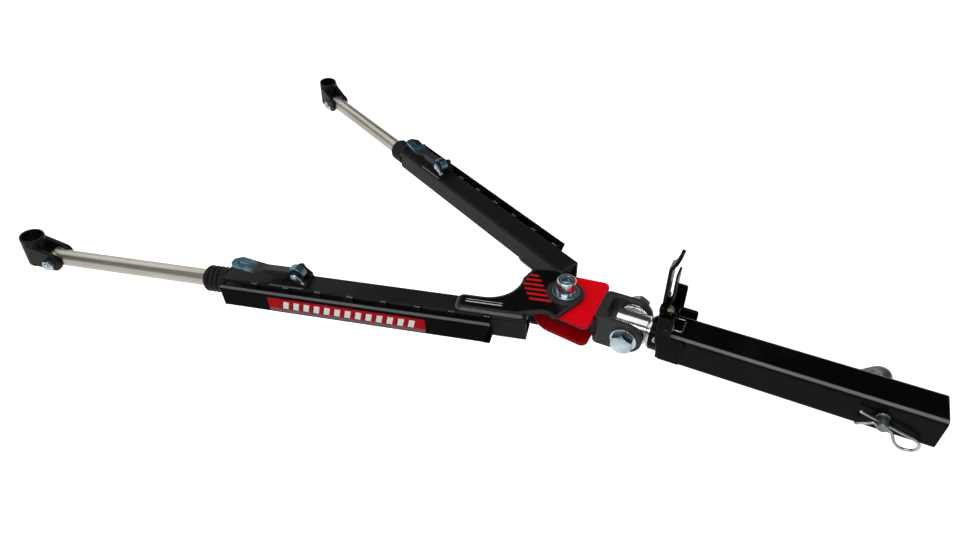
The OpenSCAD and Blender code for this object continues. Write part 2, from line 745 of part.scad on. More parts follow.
module plate_blank() {
    linear_extrude(plate_t) hull() {
        circle(plate_head_r);
        translate(plate_ear) circle(plate_ear_r);
        for (lobe = [plate_lobe, plate_lobe_in]) translate(lobe) circle(plate_lobe_r);
    }
    linear_extrude(plate_t) polygon([
        [0, plate_ear[1] - 6], plate_ear + [2, 5], [plate_lobe[0], plate_ear[1] + 6], [plate_pad_u, plate_w1],
        [plate_neck_u, plate_w1], [plate_neck_u, plate_w0], plate_shoulder,
        plate_lobe + plate_lobe_r * [cos(34), -sin(34)], plate_lobe,
    ]);
    translate([plate_pad_u - 2, plate_w0, 0])
        cube([plate_end - plate_nose - plate_pad_u + 2, plate_w1 - plate_w0, plate_t]);
    translate([plate_pad_u - 2, plate_w0 + plate_nose, 0])
        cube([plate_end - plate_pad_u + 2, plate_w1 - plate_w0 - 2 * plate_nose, plate_t]);
    for (w = [plate_w0 + plate_nose, plate_w1 - plate_nose])
        translate([plate_end - plate_nose, w, 0]) cylinder(r = plate_nose, h = plate_t);
}

module arm_plate() color(black) translate([0, 0, tube_half]) difference() {
    plate_blank();
    translate([plate_scallop[0], plate_scallop[1], -1]) cylinder(r = plate_scallop_r, h = plate_t + 2);
    translate([plate_notch[0], plate_notch[1], -1]) cylinder(r = plate_notch_r, h = plate_t + 2);
    rod_z(bolt_d + 2 * fit, -1, plate_t + 1);
}

// Ribbed rubber boot that wipes the rod
module arm_boot() color([0.1, 0.1, 0.1]) on_rod()
    translate([tube_end, 0, 0]) rotate([0, 90, 0]) rotate_extrude() {
    pitch = boot_len / (boot_ribs + 1);
    difference() {
        union() {
            square([boot_d / 2 - 2, boot_len - 3]);
            square([boot_d / 2 - 6, boot_len]);
            for (k = [0:boot_ribs]) translate([0, k * pitch])
                square([boot_d / 2 - (k == boot_ribs ? 1.5 : 0), pitch * 0.62]);
        }
        translate([-1, -1]) square([rod_r + fit + 0.1 + 1, boot_len + 2]);
    }
}

module arm_guide() color([0.8, 0.76, 0.62]) on_rod() difference() {
    translate([tube_end - guide_len, 0, 0]) rotate([90, 0, 90]) linear_extrude(guide_len)
        round_square(tube_bore - 2 * fit, tube_bore - 2 * fit, 1);
    rod_x(rod_d + 2 * fit, tube_end - guide_len - 1, tube_end + 1);
}

// Latch: base bracket with two cheeks, lever, pin, keeper and plunger.
// hand is 1 where the keeper lies outwards and -1 where it lies inwards.

module latch_side(hand) translate([0, rod_w, 0]) mirror([0, hand < 0 ? 1 : 0, 0]) children();

latch_x0 = latch_u - 18;
latch_x1 = latch_u + 45;
cheek_w = hub_w / 2 + gap;
base_w = 33;
foot_h = 4;

module latch_base(hand) color(black) latch_side(hand) difference() {
    union() {
        translate([latch_x0, -base_w / 2, tube_half]) cube([latch_x1 - latch_x0, base_w, base_t]);
        plate_xz(cheek_w, latch_cheek_t) latch_cheek_outline(hub_d / 2 - 2.5, foot_h);
        plate_xz(-base_w / 2, base_w / 2 - cheek_w) latch_cheek_outline(latch_pin_d / 2 + 2.5, 1.5 * foot_h);
        translate([plunger_u, 0, 0]) rod_z(plunger_d + 4, tube_half, tube_half + base_t + 3);
    }
    translate([latch_u, 0, latch_z]) rod_y(latch_pin_d + 2 * fit, -30, 30);
    translate([plunger_u, 0, 0]) rod_z(plunger_d + 2 * gap, 0, tube_w);
}

// Cheek: a round head round the lever's pin on a foot, which is end_h high at its outer end
module latch_cheek_outline(head_r, end_h) {
    foot_z = tube_half + base_t / 2;
    hull() {
        translate([latch_u, latch_z]) circle(head_r);
        translate([latch_x0 + 1, foot_z]) square([plunger_u - latch_x0, foot_h]);
        translate([latch_x0 + 1, foot_z]) square([foot_h, end_h]);
    }
}

module latch_pin(hand) color(zinc) latch_side(hand) translate([latch_u, 0, latch_z]) {
    w0 = base_w / 2;
    rod_y(latch_pin_d, -w0 - 2, cheek_w + latch_cheek_t + keeper_t + 2);
    rod_y(latch_pin_d + 4, -w0 - 4, -w0 - gap / 3);
}

// Keeper bar riveted to the cheek, which holds the lever's pin
keeper_t = 2.4;

module keeper(hand) color(zinc) latch_side(hand) difference() {
    union() {
        plate_xz(cheek_w + latch_cheek_t, keeper_t) hull() {
            translate([latch_u, latch_z]) circle(latch_pin_d / 2 + 2);
            translate([latch_x0 + 6, tube_half + base_t + 3]) circle(2.5);
        }
        translate([latch_x0 + 6, 0, tube_half + base_t + 3]) rod_y(5, cheek_w + latch_cheek_t, cheek_w + 6.4);
    }
    translate([latch_u, 0, latch_z]) rod_y(latch_pin_d + 2 * fit, 0, 30);
}

// Lever: hub, hollow neck and grooved thumb plate, from a side view crossed with a plan view
lever_z0 = latch_z - 3;
lever_neck = latch_u + 0.5 * latch_reach;
skirt_t = 1.3;
thumb_groove_w = 6;
thumb_groove_in = 11;
thumb_groove_deep = 1.6;
thumb_rise = 9;

module lever(hand) color(zinc) latch_side(hand) difference() {
    union() {
        translate([latch_u, 0, latch_z]) rod_y(hub_d, -hub_w / 2, hub_w / 2);
        intersection() {
            plate_xz(-thumb_w, 2 * thumb_w) lever_side();
            translate([latch_u, 0, 0]) linear_extrude(latch_z + hub_d) lever_plan();
        }
    }
    translate([latch_u, 0, latch_z]) rod_y(latch_pin_d + 2 * fit, -hub_w, hub_w);
    plate_xz(skirt_t - hub_w / 2, hub_w - 2 * skirt_t) lever_hollow();
    plate_xz(thumb_shift, thumb_groove_w) thumb_groove();
    translate([plunger_u, 0, latch_z]) {
        translate([-5.7, -4.6, pocket_z]) cube([12.2, 9.2, 5]);
        translate([-4.5, -2.6, pocket_z - 10]) cube([7.5, 5.2, 11]);
    }
}

module lever_side() {
    tip = latch_u + latch_reach;
    polygon([
        [latch_u, lever_z0 - 6], [latch_u + hub_d / 2, lever_z0 - 6], [lever_neck - 5, lever_z0 - 3.5],
        [lever_neck + 2, lever_z0 + 3], [tip, lever_z0 + thumb_rise + 4], [tip, lever_z0 + thumb_rise + 8.5],
        [lever_neck, lever_z0 + 8.5], [latch_u, lever_z0 + 9],
    ]);
}

// Room under the neck, between its two skirts, for the plunger
module lever_hollow() {
    u0 = latch_u + hub_d / 2 + 1;
    u1 = lever_neck - 7;
    polygon([[u0, lever_z0 - 20], [u1, lever_z0 - 20], [u1, lever_z0 + 1], [u0, lever_z0 - 1.7]]);
}

// Long groove along the top of the thumb plate
module thumb_groove() {
    u0 = lever_neck + thumb_groove_in;
    u1 = latch_u + latch_reach - thumb_groove_in;
    function top(u) = lever_z0 + 8.5 + thumb_rise * (u - lever_neck) / (0.5 * latch_reach);
    polygon([
        [u0, top(u0) - thumb_groove_deep], [u1, top(u1) - thumb_groove_deep], [u1, top(u1) + 2],
        [u0, top(u0) + 2],
    ]);
}

module lever_plan() {
    neck = lever_neck - latch_u;
    w1 = thumb_shift + thumb_w / 2;
    w0 = thumb_shift - thumb_w / 2;
    translate([0, -hub_w / 2]) square([neck, hub_w]);
    polygon([[neck - 2, -hub_w / 2], [neck - 2, hub_w / 2], [neck + 13, w1], [latch_reach - 4, w1],
        [latch_reach, w1 - 5], [latch_reach, w0 + 9], [latch_reach - 10, w0]]);
}

// Lock plunger that rides on the rod; its head hangs in the lever's pocket, which lifts it
pocket_z = -1.6;
plunger_neck_z = -7.2;

module plunger() color(zinc) on_rod() translate([plunger_u, 0, 0]) {
    rod_z(plunger_d, rod_r + gap, latch_z + plunger_neck_z);
    rod_z(4.4, latch_z + plunger_neck_z - 1, latch_z + pocket_z + 1);
    rod_z(8, latch_z + pocket_z + 0.1, latch_z + pocket_z + 1.7);
}

// Sliding rods

lock_groove = 4;
tang_len = 21;

module arm_rod() color(steel) on_rod() difference() {
    tang = ear_in - gap;
    union() {
        rod_x(rod_d, rod_tail_u, eye_bolt_u);
        translate([eye_bolt_u, 0, 0]) rod_y(rod_d - 1, -tang, tang);
    }
    for (w0 = [-rod_d - tang, tang])
        translate([eye_bolt_u - tang_len, w0, -rod_d]) cube([60, rod_d, 2 * rod_d]);
    translate([eye_bolt_u, 0, 0]) rod_y(eye_bolt_d + 2 * fit, -rod_d, rod_d);
    difference() {
        rod_x(rod_d + 2, plunger_u - rod_out - 5.5, plunger_u - rod_out + 5.5);
        rod_x(rod_d - 2 * lock_groove, plunger_u - rod_out - 6, plunger_u - rod_out + 6);
    }
}

// Square stop collar on the rod, notched for the plunger
module arm_stop() color(steel) on_rod() difference() {
    x1 = tube_end - guide_len - rod_out - gap;
    translate([x1 - collar_len, 0, 0]) rotate([90, 0, 90]) linear_extrude(collar_len)
        round_square(tube_bore - 2 * gap, tube_bore - 2 * gap, 1);
    rod_x(rod_d + 2 * fit, x1 - collar_len - 1, x1 + 1);
    translate([x1 - collar_len - 1, -plunger_d / 2 - 1, 0]) cube([collar_len + 2, plunger_d + 2, tube_w]);
}

// End eyes

eye_nut_h = 9;
eye_head_h = 5.5;
eye_af = 17;

module end_eye() color(black) on_rod() translate([eye_bolt_u, 0, 0]) rotate([0, -eye_tip, 0]) difference() {
    low = eye_rise - eye_h / 2;
    union() {
        for (w0 = [-ear_in - ear_t, ear_in]) plate_xz(w0, ear_t) hull() {
            circle(ear_r);
            translate([eye_reach - 1, low + 3]) square([1, eye_h - 12]);
        }
        translate([eye_reach, 0, 0]) rod_z(eye_d, low, low + eye_h);
    }
    translate([eye_reach, 0, 0]) rod_z(eye_bore, low - 1, low + eye_h + 1);
    rod_y(eye_bolt_d + 2 * fit, -eye_d, eye_d);
}

// Bolt with its head on the side away from hand
module eye_bolt(hand) color(zinc) latch_side(hand) translate([eye_bolt_u, 0, 0]) rotate([-90, 0, 0]) {
    z1 = ear_in + ear_t;
    rod_z(eye_bolt_d, -z1 - 2, z1 + eye_nut_h + 3);
    hex_z(eye_af, -z1 - eye_head_h, -z1);
}

module eye_nut(hand) color(zinc) latch_side(hand) translate([eye_bolt_u, 0, 0]) rotate([-90, 0, 0]) {
    z1 = ear_in + ear_t;
    difference() {
        hex_z(eye_af, z1, z1 + eye_nut_h);
        rod_z(eye_bolt_d + 2 * fit, z1 - 1, z1 + eye_nut_h + 1);
    }
}

module near_tube() on_near() arm_tube();
module near_channel() on_near() arm_channel();
module near_plate() on_near() arm_plate();
module near_boot() on_near() arm_boot();
module near_guide() on_near() arm_guide();
module near_latch_base() on_near() latch_base(1);
module near_latch_pin() on_near() latch_pin(1);
module near_keeper() on_near() keeper(1);
module near_lever() on_near() lever(1);
module near_plunger() on_near() plunger();
module near_rod() on_near() arm_rod();
module near_stop() on_near() arm_stop();
module near_eye() on_near() end_eye();
module near_eye_bolt() on_near() eye_bolt(1);
module near_eye_nut() on_near() eye_nut(1);

module far_tube() on_far() arm_tube();
module far_channel() on_far() arm_channel();
module far_plate() on_far() mirror([0, 0, 1]) arm_plate();
module far_boot() on_far() arm_boot();
module far_guide() on_far() arm_guide();
module far_latch_base() on_far() latch_base(-1);
module far_latch_pin() on_far() latch_pin(-1);
module far_keeper() on_far() keeper(-1);
module far_lever() on_far() lever(-1);
module far_plunger() on_far() plunger();
module far_rod() on_far() arm_rod();
module far_stop() on_far() arm_stop();
module far_eye() on_far() end_eye();
module far_eye_bolt() on_far() eye_bolt(-1);
module far_eye_nut() on_far() eye_nut(-1);

shank_tube();
front_bush();
collar_screw();
near_cheek();
far_cheek();
stow_pin();
stow_spring();
stow_lever();
stow_pawl();
stow_bolt();
hitch_pin();
hairpin_clip();
swivel();
swivel_washer();
swivel_nut();
yoke();
upper_red_plate();
lower_red_plate();
thrust_washers();
clevis_bolt();
clevis_washers();
clevis_nut();
pivot_bolt();
pivot_washers();
pivot_nut();
pivot_discs();
near_tube();
near_channel();
near_plate();
near_boot();
near_guide();
near_latch_base();
near_latch_pin();
near_keeper();
near_lever();
near_plunger();
near_rod();
near_stop();
near_eye();
near_eye_bolt();
near_eye_nut();
far_tube();
far_channel();
far_plate();
far_boot();
far_guide();
far_latch_base();
far_latch_pin();
far_keeper();
far_lever();
far_plunger();
far_rod();
far_stop();
far_eye();
far_eye_bolt();
far_eye_nut();
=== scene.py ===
"""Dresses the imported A-frame tow bar with rounded pieces, welds, finishes, light and a camera.

Sizes in the sub-assemblies are millimetres in the part's frame: the origin is the hitch pin's centre,
+X runs along the shank into the receiver and +Z is up. Meshes are written in metres. Sizes in the
finishes are metres, and the scales of their noise are waves per metre.
"""

from __future__ import annotations

import json
import logging
import math
from collections.abc import Callable
from dataclasses import dataclass, field, replace
from enum import Enum

import bmesh
import bpy
import numpy as np
from mathutils import Matrix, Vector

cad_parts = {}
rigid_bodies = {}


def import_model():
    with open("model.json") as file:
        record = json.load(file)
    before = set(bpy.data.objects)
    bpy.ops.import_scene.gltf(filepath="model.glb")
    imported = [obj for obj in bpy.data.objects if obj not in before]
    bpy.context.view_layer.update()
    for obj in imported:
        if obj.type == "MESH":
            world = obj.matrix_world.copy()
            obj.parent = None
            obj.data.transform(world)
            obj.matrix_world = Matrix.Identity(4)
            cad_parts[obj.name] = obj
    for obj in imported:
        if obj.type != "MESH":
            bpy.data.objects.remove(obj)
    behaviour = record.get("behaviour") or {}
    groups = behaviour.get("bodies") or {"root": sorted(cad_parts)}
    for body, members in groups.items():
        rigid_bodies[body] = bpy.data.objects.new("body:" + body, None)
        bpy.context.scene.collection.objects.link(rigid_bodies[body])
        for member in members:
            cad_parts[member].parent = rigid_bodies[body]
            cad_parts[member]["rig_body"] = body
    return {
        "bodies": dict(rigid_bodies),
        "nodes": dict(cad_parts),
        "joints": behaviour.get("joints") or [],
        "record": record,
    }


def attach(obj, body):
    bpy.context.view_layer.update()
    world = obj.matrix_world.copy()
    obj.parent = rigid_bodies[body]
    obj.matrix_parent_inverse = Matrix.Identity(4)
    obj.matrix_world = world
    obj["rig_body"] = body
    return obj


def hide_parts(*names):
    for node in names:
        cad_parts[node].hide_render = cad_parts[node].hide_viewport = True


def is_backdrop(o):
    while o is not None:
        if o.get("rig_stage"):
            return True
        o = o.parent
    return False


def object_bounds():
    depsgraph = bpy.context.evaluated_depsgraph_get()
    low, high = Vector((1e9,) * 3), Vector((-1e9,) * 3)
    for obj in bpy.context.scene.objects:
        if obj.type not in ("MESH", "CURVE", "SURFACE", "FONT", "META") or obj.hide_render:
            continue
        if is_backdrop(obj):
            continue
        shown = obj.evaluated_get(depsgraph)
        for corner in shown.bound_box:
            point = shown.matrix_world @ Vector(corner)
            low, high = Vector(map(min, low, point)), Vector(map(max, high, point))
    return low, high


Array = np.ndarray
Colour = tuple[float, float, float]
Point = tuple[float, float, float]
Span = tuple[float, float]

LOG = logging.getLogger("tow_bar")
MM = 0.001

SHANK_HALF = 25.4
SHANK_FRONT_X = -282.2
CLEVIS_X = -327.2
PIVOT_X = -427.2
TUBE_HALF = 19.05
ROD_W = 49.25
CHANNEL_W = 85.3
THREAD_PITCH = 1.8

MERGE = 1e-7
MERGE_SOLID = 1e-6
FLAT_ANGLE = 0.004

ALONG = (1.0, 0.0, 0.0)
ACROSS = (0.0, 1.0, 0.0)
UP = (0.0, 0.0, 1.0)
DOWNWARDS = np.array([1.0, 1.0, -1.0])


class Value:
    """One output socket of a shader; its operators add Math nodes."""

    def __init__(self, tree: Tree, socket: bpy.types.NodeSocket) -> None:
        """Keeps the socket and the tree that it belongs to."""
        self.tree = tree
        self.socket = socket

    def math(self, operation: str, *others: Value | float) -> Value:
        """Adds a Math node whose first input is this value."""
        return self.tree.add("ShaderNodeMath", {"operation": operation}, dict(enumerate((self, *others))))

    def __add__(self, other: Value | float) -> Value:
        """Sum, also in its reflected form."""
        return self.math("ADD", other)

    __radd__ = __add__

    def __sub__(self, other: Value | float) -> Value:
        """Difference."""
        return self.math("SUBTRACT", other)

    def __rsub__(self, other: float) -> Value:
        """Reflected difference."""
        return self.tree.add("ShaderNodeMath", {"operation": "SUBTRACT"}, {0: other, 1: self})

    def __mul__(self, other: Value | float) -> Value:
        """Product, also in its reflected form."""
        return self.math("MULTIPLY", other)

    __rmul__ = __mul__

    def __truediv__(self, other: Value | float) -> Value:
        """Quotient."""
        return self.math("DIVIDE", other)

    def smooth(self, low: float, high: float) -> Value:
        """Smooth step from 0 at low to 1 at high."""
        settings = {"interpolation_type": "SMOOTHSTEP"}
        return self.tree.add("ShaderNodeMapRange", settings, {0: self, 1: low, 2: high})

    def band(self, low: float, high: float, soft: float) -> Value:
        """1 between low and high and 0 outside, with soft borders."""
        return self.smooth(low - soft, low + soft) * (1.0 - self.smooth(high - soft, high + soft))

    def swing(self, amount: float) -> Value:
        """A value from 0 to 1 made to swing about 0 by an amount."""
        return amount * (self - 0.5)


class Tree:
    """Node tree of one material or world, ready for expressions."""

    def __init__(self, owner: bpy.types.Material | bpy.types.World) -> None:
        """Empties the tree of a material or world.

        Args:
            owner: The material or world.
        """
        owner.use_nodes = True
        self.owner = owner
        self.nodes = owner.node_tree.nodes
        self.links = owner.node_tree.links
        self.nodes.clear()

    def add(
        self, kind: str, settings: dict | None = None, inputs: dict | None = None, output: int | str = 0
    ) -> Value | None:
        """Adds one node.

        Args:
            kind: The node's type.
            settings: Attributes that are set before the inputs.
            inputs: Values or links of the sockets, by name or number.
            output: The socket that the result stands for.

        Returns:
            The chosen output, or nothing from the tree's last node.
        """
        node = self.nodes.new(kind)
        for key, value in (settings or {}).items():
            setattr(node, key, value)
        for key, value in (inputs or {}).items():
            socket = node.inputs[key]
            if isinstance(value, Value):
                self.links.new(value.socket, socket)
            elif isinstance(value, tuple) and socket.type == "RGBA":
                socket.default_value = (*value, 1.0)
            else:
                socket.default_value = value
        return Value(self, node.outputs[output]) if node.outputs else None

    def place(self, turn: float = 0.0, stretch: Point = (1.0, 1.0, 1.0)) -> Value:
        """Object coordinates, turned about Z and stretched.

        Args:
            turn: Angle about Z in degrees.
            stretch: Scale along each axis after the turn.

        Returns:
            The coordinates as a vector.
        """
        point = self.add("ShaderNodeTexCoord", output="Object")
        if turn:
            point = self.add("ShaderNodeMapping", None, {0: point, 2: (0.0, 0.0, math.radians(turn))})
        if stretch == (1.0, 1.0, 1.0):
            return point
        return self.add("ShaderNodeVectorMath", {"operation": "MULTIPLY"}, {0: point, 1: stretch})

    def numbers(self, point: Value, axes: str) -> list[Value]:
        """The numbers of a vector along the named axes."""
        return [self.add("ShaderNodeSeparateXYZ", None, {0: point}, axis) for axis in axes]

    def printed(self) -> list[Value]:
        """The two numbers of the print map."""
        return self.numbers(self.add("ShaderNodeUVMap", {"uv_map": "print"}), "XY")

    def noise(self, point: Value, scale: float, detail: float = 2.0) -> Value:
        """Noise from 0 to 1, of a number of waves per metre."""
        return self.add("ShaderNodeTexNoise", None, {"Vector": point, "Scale": scale, "Detail": detail})

    def mix(self, factor: Value | float, first: Value | Colour, second: Value | Colour) -> Value:
        """Colour between two others."""
        return self.add("ShaderNodeMix", {"data_type": "RGBA"}, {0: factor, 6: first, 7: second}, 2)

    def edges(self, radius: float, low: float = 0.03, high: float = 0.3) -> Value:
        """1 on edges and 0 on flats: a step of one less the cosine of the surface's turn.

        Args:
            radius: How far round a point the turn is felt.
            low: Turn at which the step starts.
            high: Turn at which it ends.

        Returns:
            The mask.
        """
        rounded = self.add("ShaderNodeBevel", {"samples": 4}, {"Radius": radius})
        true = self.add("ShaderNodeNewGeometry", output="Normal")
        settings = {"operation": "DOT_PRODUCT"}
        cosine = self.add("ShaderNodeVectorMath", settings, {0: rounded, 1: true}, "Value")
        return (1.0 - cosine).smooth(low, high)

    def bump(self, height: Value, strength: float, distance: float) -> Value:
        """Normal that a height gives."""
        inputs = {"Strength": strength, "Distance": distance, "Height": height}
        return self.add("ShaderNodeBump", None, inputs)

    def shown(self, *rays: str) -> Value:
        """1 for rays of the named kinds and 0 for all others.

        Args:
            rays: The kinds, as the Light Path node names them.

        Returns:
            The mask.
        """
        kinds = [self.add("ShaderNodeLightPath", output=f"Is {ray} Ray") for ray in rays]
        seen = kinds[0]
        for kind in kinds[1:]:
            seen = seen.math("MAXIMUM", kind)
        return seen

    def finish(self, **sockets: Value | float | Colour) -> bpy.types.Material:
        """Ends the tree in one Principled shader.

        Args:
            sockets: The shader's inputs, with underscores for spaces.

        Returns:
            The finished material.
        """
        inputs = {key.replace("_", " "): value for key, value in sockets.items()}
        shader = self.add("ShaderNodeBsdfPrincipled", None, inputs)
        self.add("ShaderNodeOutputMaterial", None, {0: shader})
        return self.owner


@dataclass(frozen=True)
class Finish:
    """A surface finish that makes its material once."""

    name: str

    def material(self) -> bpy.types.Material:
        """The finish's material, made when it is first asked for."""
        if self not in MADE:
            MADE[self] = self.build(Tree(bpy.data.materials.new(self.name)))
        return MADE[self]

    def build(self, tree: Tree) -> bpy.types.Material:
        """Fills a material's tree; each finish has its own way.

        Args:
            tree: The empty tree.

        Returns:
            The finished material.
        """
        raise NotImplementedError


MADE: dict[Finish, bpy.types.Material] = {}


@dataclass(frozen=True)
class PowderCoat(Finish):
    """Sprayed black coat with orange peel, faint blotches, and edges that shine and are rubbed."""

    colour: Colour = (0.007, 0.007, 0.0072)
    # Worn colour of rubbed edges; along long bends it is also the painted highlight's colour.
    worn: Colour = (0.14, 0.14, 0.145)
    roughness: float = 0.42
    gloss: float = 0.09
    coat: float = 0.06
    edge_coat: float = 0.9
    coat_roughness: float = 0.16
    peel: float = 0.08
    peel_depth: float = 0.0004
    grain: float = 700.0
    wear: float = 0.4
    wear_marks: float = 140.0
    blotches: float = 16.0
    dust: float = 0.02
    reach: float = 0.0009

    def build(self, tree: Tree) -> bpy.types.Material:
        """Orange peel in the bump, blotches in the roughness, and a thicker coat and wear along edges.

        Args:
            tree: The empty tree.

        Returns:
            The finished material.
        """
        point = tree.place()
        peel = tree.noise(point, self.grain)
        blotch = tree.noise(point, self.blotches, 3.0)
        rub = tree.noise(point, self.wear_marks, 4.0).smooth(0.42, 0.7)
        edge = tree.edges(self.reach)
        dust = blotch.smooth(0.45, 0.8) * self.dust
        colour = tree.mix(edge * rub * self.wear + dust, self.colour, self.worn)
        # Painted highlight: along long bends the colour turns towards the worn colour, as if a lamp shone
        # there.
        bend = self.bends(tree)
        if bend:
            colour = tree.mix(bend * (0.75 + 0.5 * blotch), colour, self.worn)
        return tree.finish(
            Base_Color=colour,
            Roughness=self.roughness + blotch.swing(0.12),
            Specular_IOR_Level=self.gloss,
            Coat_Weight=self.coat + self.edge_coat * (1.0 - self.coat) * edge,
            Coat_Roughness=self.coat_roughness,
            Normal=tree.bump(peel, self.peel, self.peel_depth),
        )

    def bends(self, tree: Tree) -> Value | None:
        """Mask of a highlight painted on long bends; a plain coat has none."""
        return None


@dataclass(frozen=True)
class BendHighlightCoat(PowderCoat):
    """Sprayed coat with a painted highlight: pale colour along the long bends of a tube or channel.

    The bend is where across share times |across| plus up share times |height| comes near its highest value.
    """

    turn: float = 0.0
    shift: float = 0.0
    half_across: float = SHANK_HALF * MM
    half_height: float = SHANK_HALF * MM
    radius: float = 0.007
    across_share: float = 0.77
    up_share: float = 1.186
    bend_start: float = 0.72
    highlight_full: float = 0.545

    def bends(self, tree: Tree) -> Value:
        """Mask of the painted highlight: 1 along the upper half of each bend's arc and 0 on the flats.

        Args:
            tree: The tree that the coat is built in.

        Returns:
            The mask.
        """
        across, height = tree.numbers(tree.place(self.turn), "YZ")
        aside = self.across_share * (across + self.shift).math("ABSOLUTE")
        total = aside + self.up_share * height.math("ABSOLUTE")
        corner = self.across_share * self.half_across + self.up_share * self.half_height
        rise = total.smooth(corner - self.bend_start * self.radius, corner - self.highlight_full * self.radius)
        return rise * rise


@dataclass(frozen=True)
class CastSteel(Finish):
    """Painted forging with a coarse skin."""

    colour: Colour = (0.022, 0.0215, 0.021)
    worn: Colour = (0.17, 0.168, 0.165)
    roughness: float = 0.44
    gloss: float = 0.25
    lumps: float = 260.0
    grit: float = 1100.0
    blotches: float = 30.0
    wear_marks: float = 90.0
    reach: float = 0.0022

    def build(self, tree: Tree) -> bpy.types.Material:
        """Two sizes of lumps in the bump, with the paint thin on the edges.

        Args:
            tree: The empty tree.

        Returns:
            The finished material.
        """
        point = tree.place()
        coarse = tree.noise(point, self.lumps, 4.0)
        fine = tree.noise(point, self.grit)
        blotch = tree.noise(point, self.blotches, 3.0)
        edge = tree.edges(self.reach, 0.02, 0.22)
        thin = edge * tree.noise(point, self.wear_marks, 3.0).smooth(0.35, 0.65)
        return tree.finish(
            Base_Color=tree.mix(thin * 0.5 + 0.03 * blotch, self.colour, self.worn),
            Roughness=self.roughness + blotch.swing(0.2),
            Specular_IOR_Level=self.gloss,
            Coat_Weight=0.08 + 0.5 * edge,
            Coat_Roughness=0.25,
            Normal=tree.bump(coarse + 0.4 * fine, 0.16, 0.0006),
        )


@dataclass(frozen=True)
class Plating(Finish):
    """Plated steel: cloudy metal with fine handling marks, blackened where X is below a limit."""

    light: Colour = (0.60, 0.69, 0.75)
    dark: Colour = (0.40, 0.48, 0.54)
    bright: Colour = (0.86, 0.88, 0.9)
    black: Colour = (0.004, 0.004, 0.0042)
    roughness: float = 0.20
    clouds: float = 45.0
    scratch: float = 0.05
    scratch_turn: float = 31.0
    scratch_scale: Point = (60.0, 900.0, 900.0)
    rubbed: float = 0.6
    reach: float = 0.0007
    black_before: float = 0.0
    black_soft: float = 0.001

    def build(self, tree: Tree) -> bpy.types.Material:
        """Clouds in the colour and roughness, scratches in the bump, and edges rubbed bright.

        Args:
            tree: The empty tree.

        Returns:
            The finished material.
        """
        point = tree.place()
        cloud = tree.noise(point, self.clouds, 4.0)
        marks = tree.noise(tree.place(self.scratch_turn, self.scratch_scale), 1.0, 3.0)
        tone = tree.mix(cloud.smooth(0.3, 0.72), self.dark, self.light)
        colour = tree.mix(tree.edges(self.reach) * self.rubbed, tone, self.bright)
        # Black below a limit along X; on the spring wire this is painted shade over the coils.
        if self.black_before:
            (along,) = tree.numbers(point, "X")
            plated = along.smooth(self.black_before - self.black_soft, self.black_before + self.black_soft)
            colour = tree.mix(plated, self.black, colour)
        return tree.finish(
            Base_Color=colour,
            Roughness=self.roughness + 0.22 * (cloud - 0.4) + marks.swing(0.08),
            Metallic=1.0,
            Normal=tree.bump(marks, self.scratch, 0.0003),
        )


@dataclass(frozen=True)
class LeverPlating(Finish):
    """Blued zinc on a lever's thumb plate and hub, with a dark band of painted shade on the neck between
    them.
    """

    turn: float = 0.0
    plate: Colour = (0.16, 0.27, 0.34)
    deep: Colour = (0.06, 0.13, 0.19)
    neck: Colour = (0.026, 0.029, 0.031)
    bright: Colour = (0.66, 0.78, 0.84)
    black_from: float = 0.414
    black_to: float = 0.462
    fade_in: float = 0.004
    fade_out: float = 0.02
    uneven: float = 0.012
    clouds: float = 70.0
    reach: float = 0.0008
    roughness: float = 0.32

    def build(self, tree: Tree) -> bpy.types.Material:
        """The distance along the arm, from turned coordinates, sets where the band of painted shade lies.

        Args:
            tree: The empty tree.

        Returns:
            The finished material.
        """
        (along,) = tree.numbers(tree.place(self.turn), "X")
        station = PIVOT_X * MM * math.cos(math.radians(self.turn)) - along
        cloud = tree.noise(tree.place(), self.clouds, 4.0)
        wave = station + cloud.swing(self.uneven)
        # Painted shade: a dark, less metallic band on the neck, where it lies in shadow.
        past = wave.smooth(self.black_to, self.black_to + self.fade_out)
        black = wave.smooth(self.black_from - self.fade_in, self.black_from) * (1.0 - past)
        tone = tree.mix(cloud.smooth(0.35, 0.65), self.deep, self.plate)
        rubbed = tree.mix(tree.edges(self.reach) * 0.85, tone, self.bright)
        return tree.finish(
            Base_Color=tree.mix(black, rubbed, self.neck),
            Roughness=self.roughness + cloud.swing(0.2),
            Metallic=1.0 - 0.8 * black,
            Specular_IOR_Level=0.2,
            Normal=tree.bump(cloud, 0.06, 0.0004),
        )


@dataclass(frozen=True)
class BrushedRod(Finish):
    """Drawn stainless bar with grinding lines along its length."""

    turn: float = 0.0
    light: Colour = (0.68, 0.655, 0.59)
    dark: Colour = (0.42, 0.39, 0.33)
    roughness: float = 0.36
    line_scale: Point = (3.0, 1400.0, 1400.0)
    ring_scale: Point = (1500.0, 60.0, 60.0)
    sheen_scale: Point = (6.0, 25.0, 25.0)

    def build(self, tree: Tree) -> bpy.types.Material:
        """Noise stretched along the bar for lines, round it for rings, and slow noise for its sheen.

        Args:
            tree: The empty tree.

        Returns:
            The finished material.
        """
        lines = tree.noise(tree.place(self.turn, self.line_scale), 1.0, 3.0)
        rings = tree.noise(tree.place(self.turn, self.ring_scale), 1.0)
        slow = tree.noise(tree.place(self.turn, self.sheen_scale), 1.0)
        streak = 0.4 * lines + 0.2 * rings + 0.4 * slow
        return tree.finish(
            Base_Color=tree.mix(streak.smooth(0.3, 0.7), self.dark, self.light),
            Roughness=self.roughness + lines.swing(0.1) + slow.swing(0.1),
            Metallic=1.0,
            Normal=tree.bump(lines + 0.5 * rings, 0.02, 0.0002),
        )


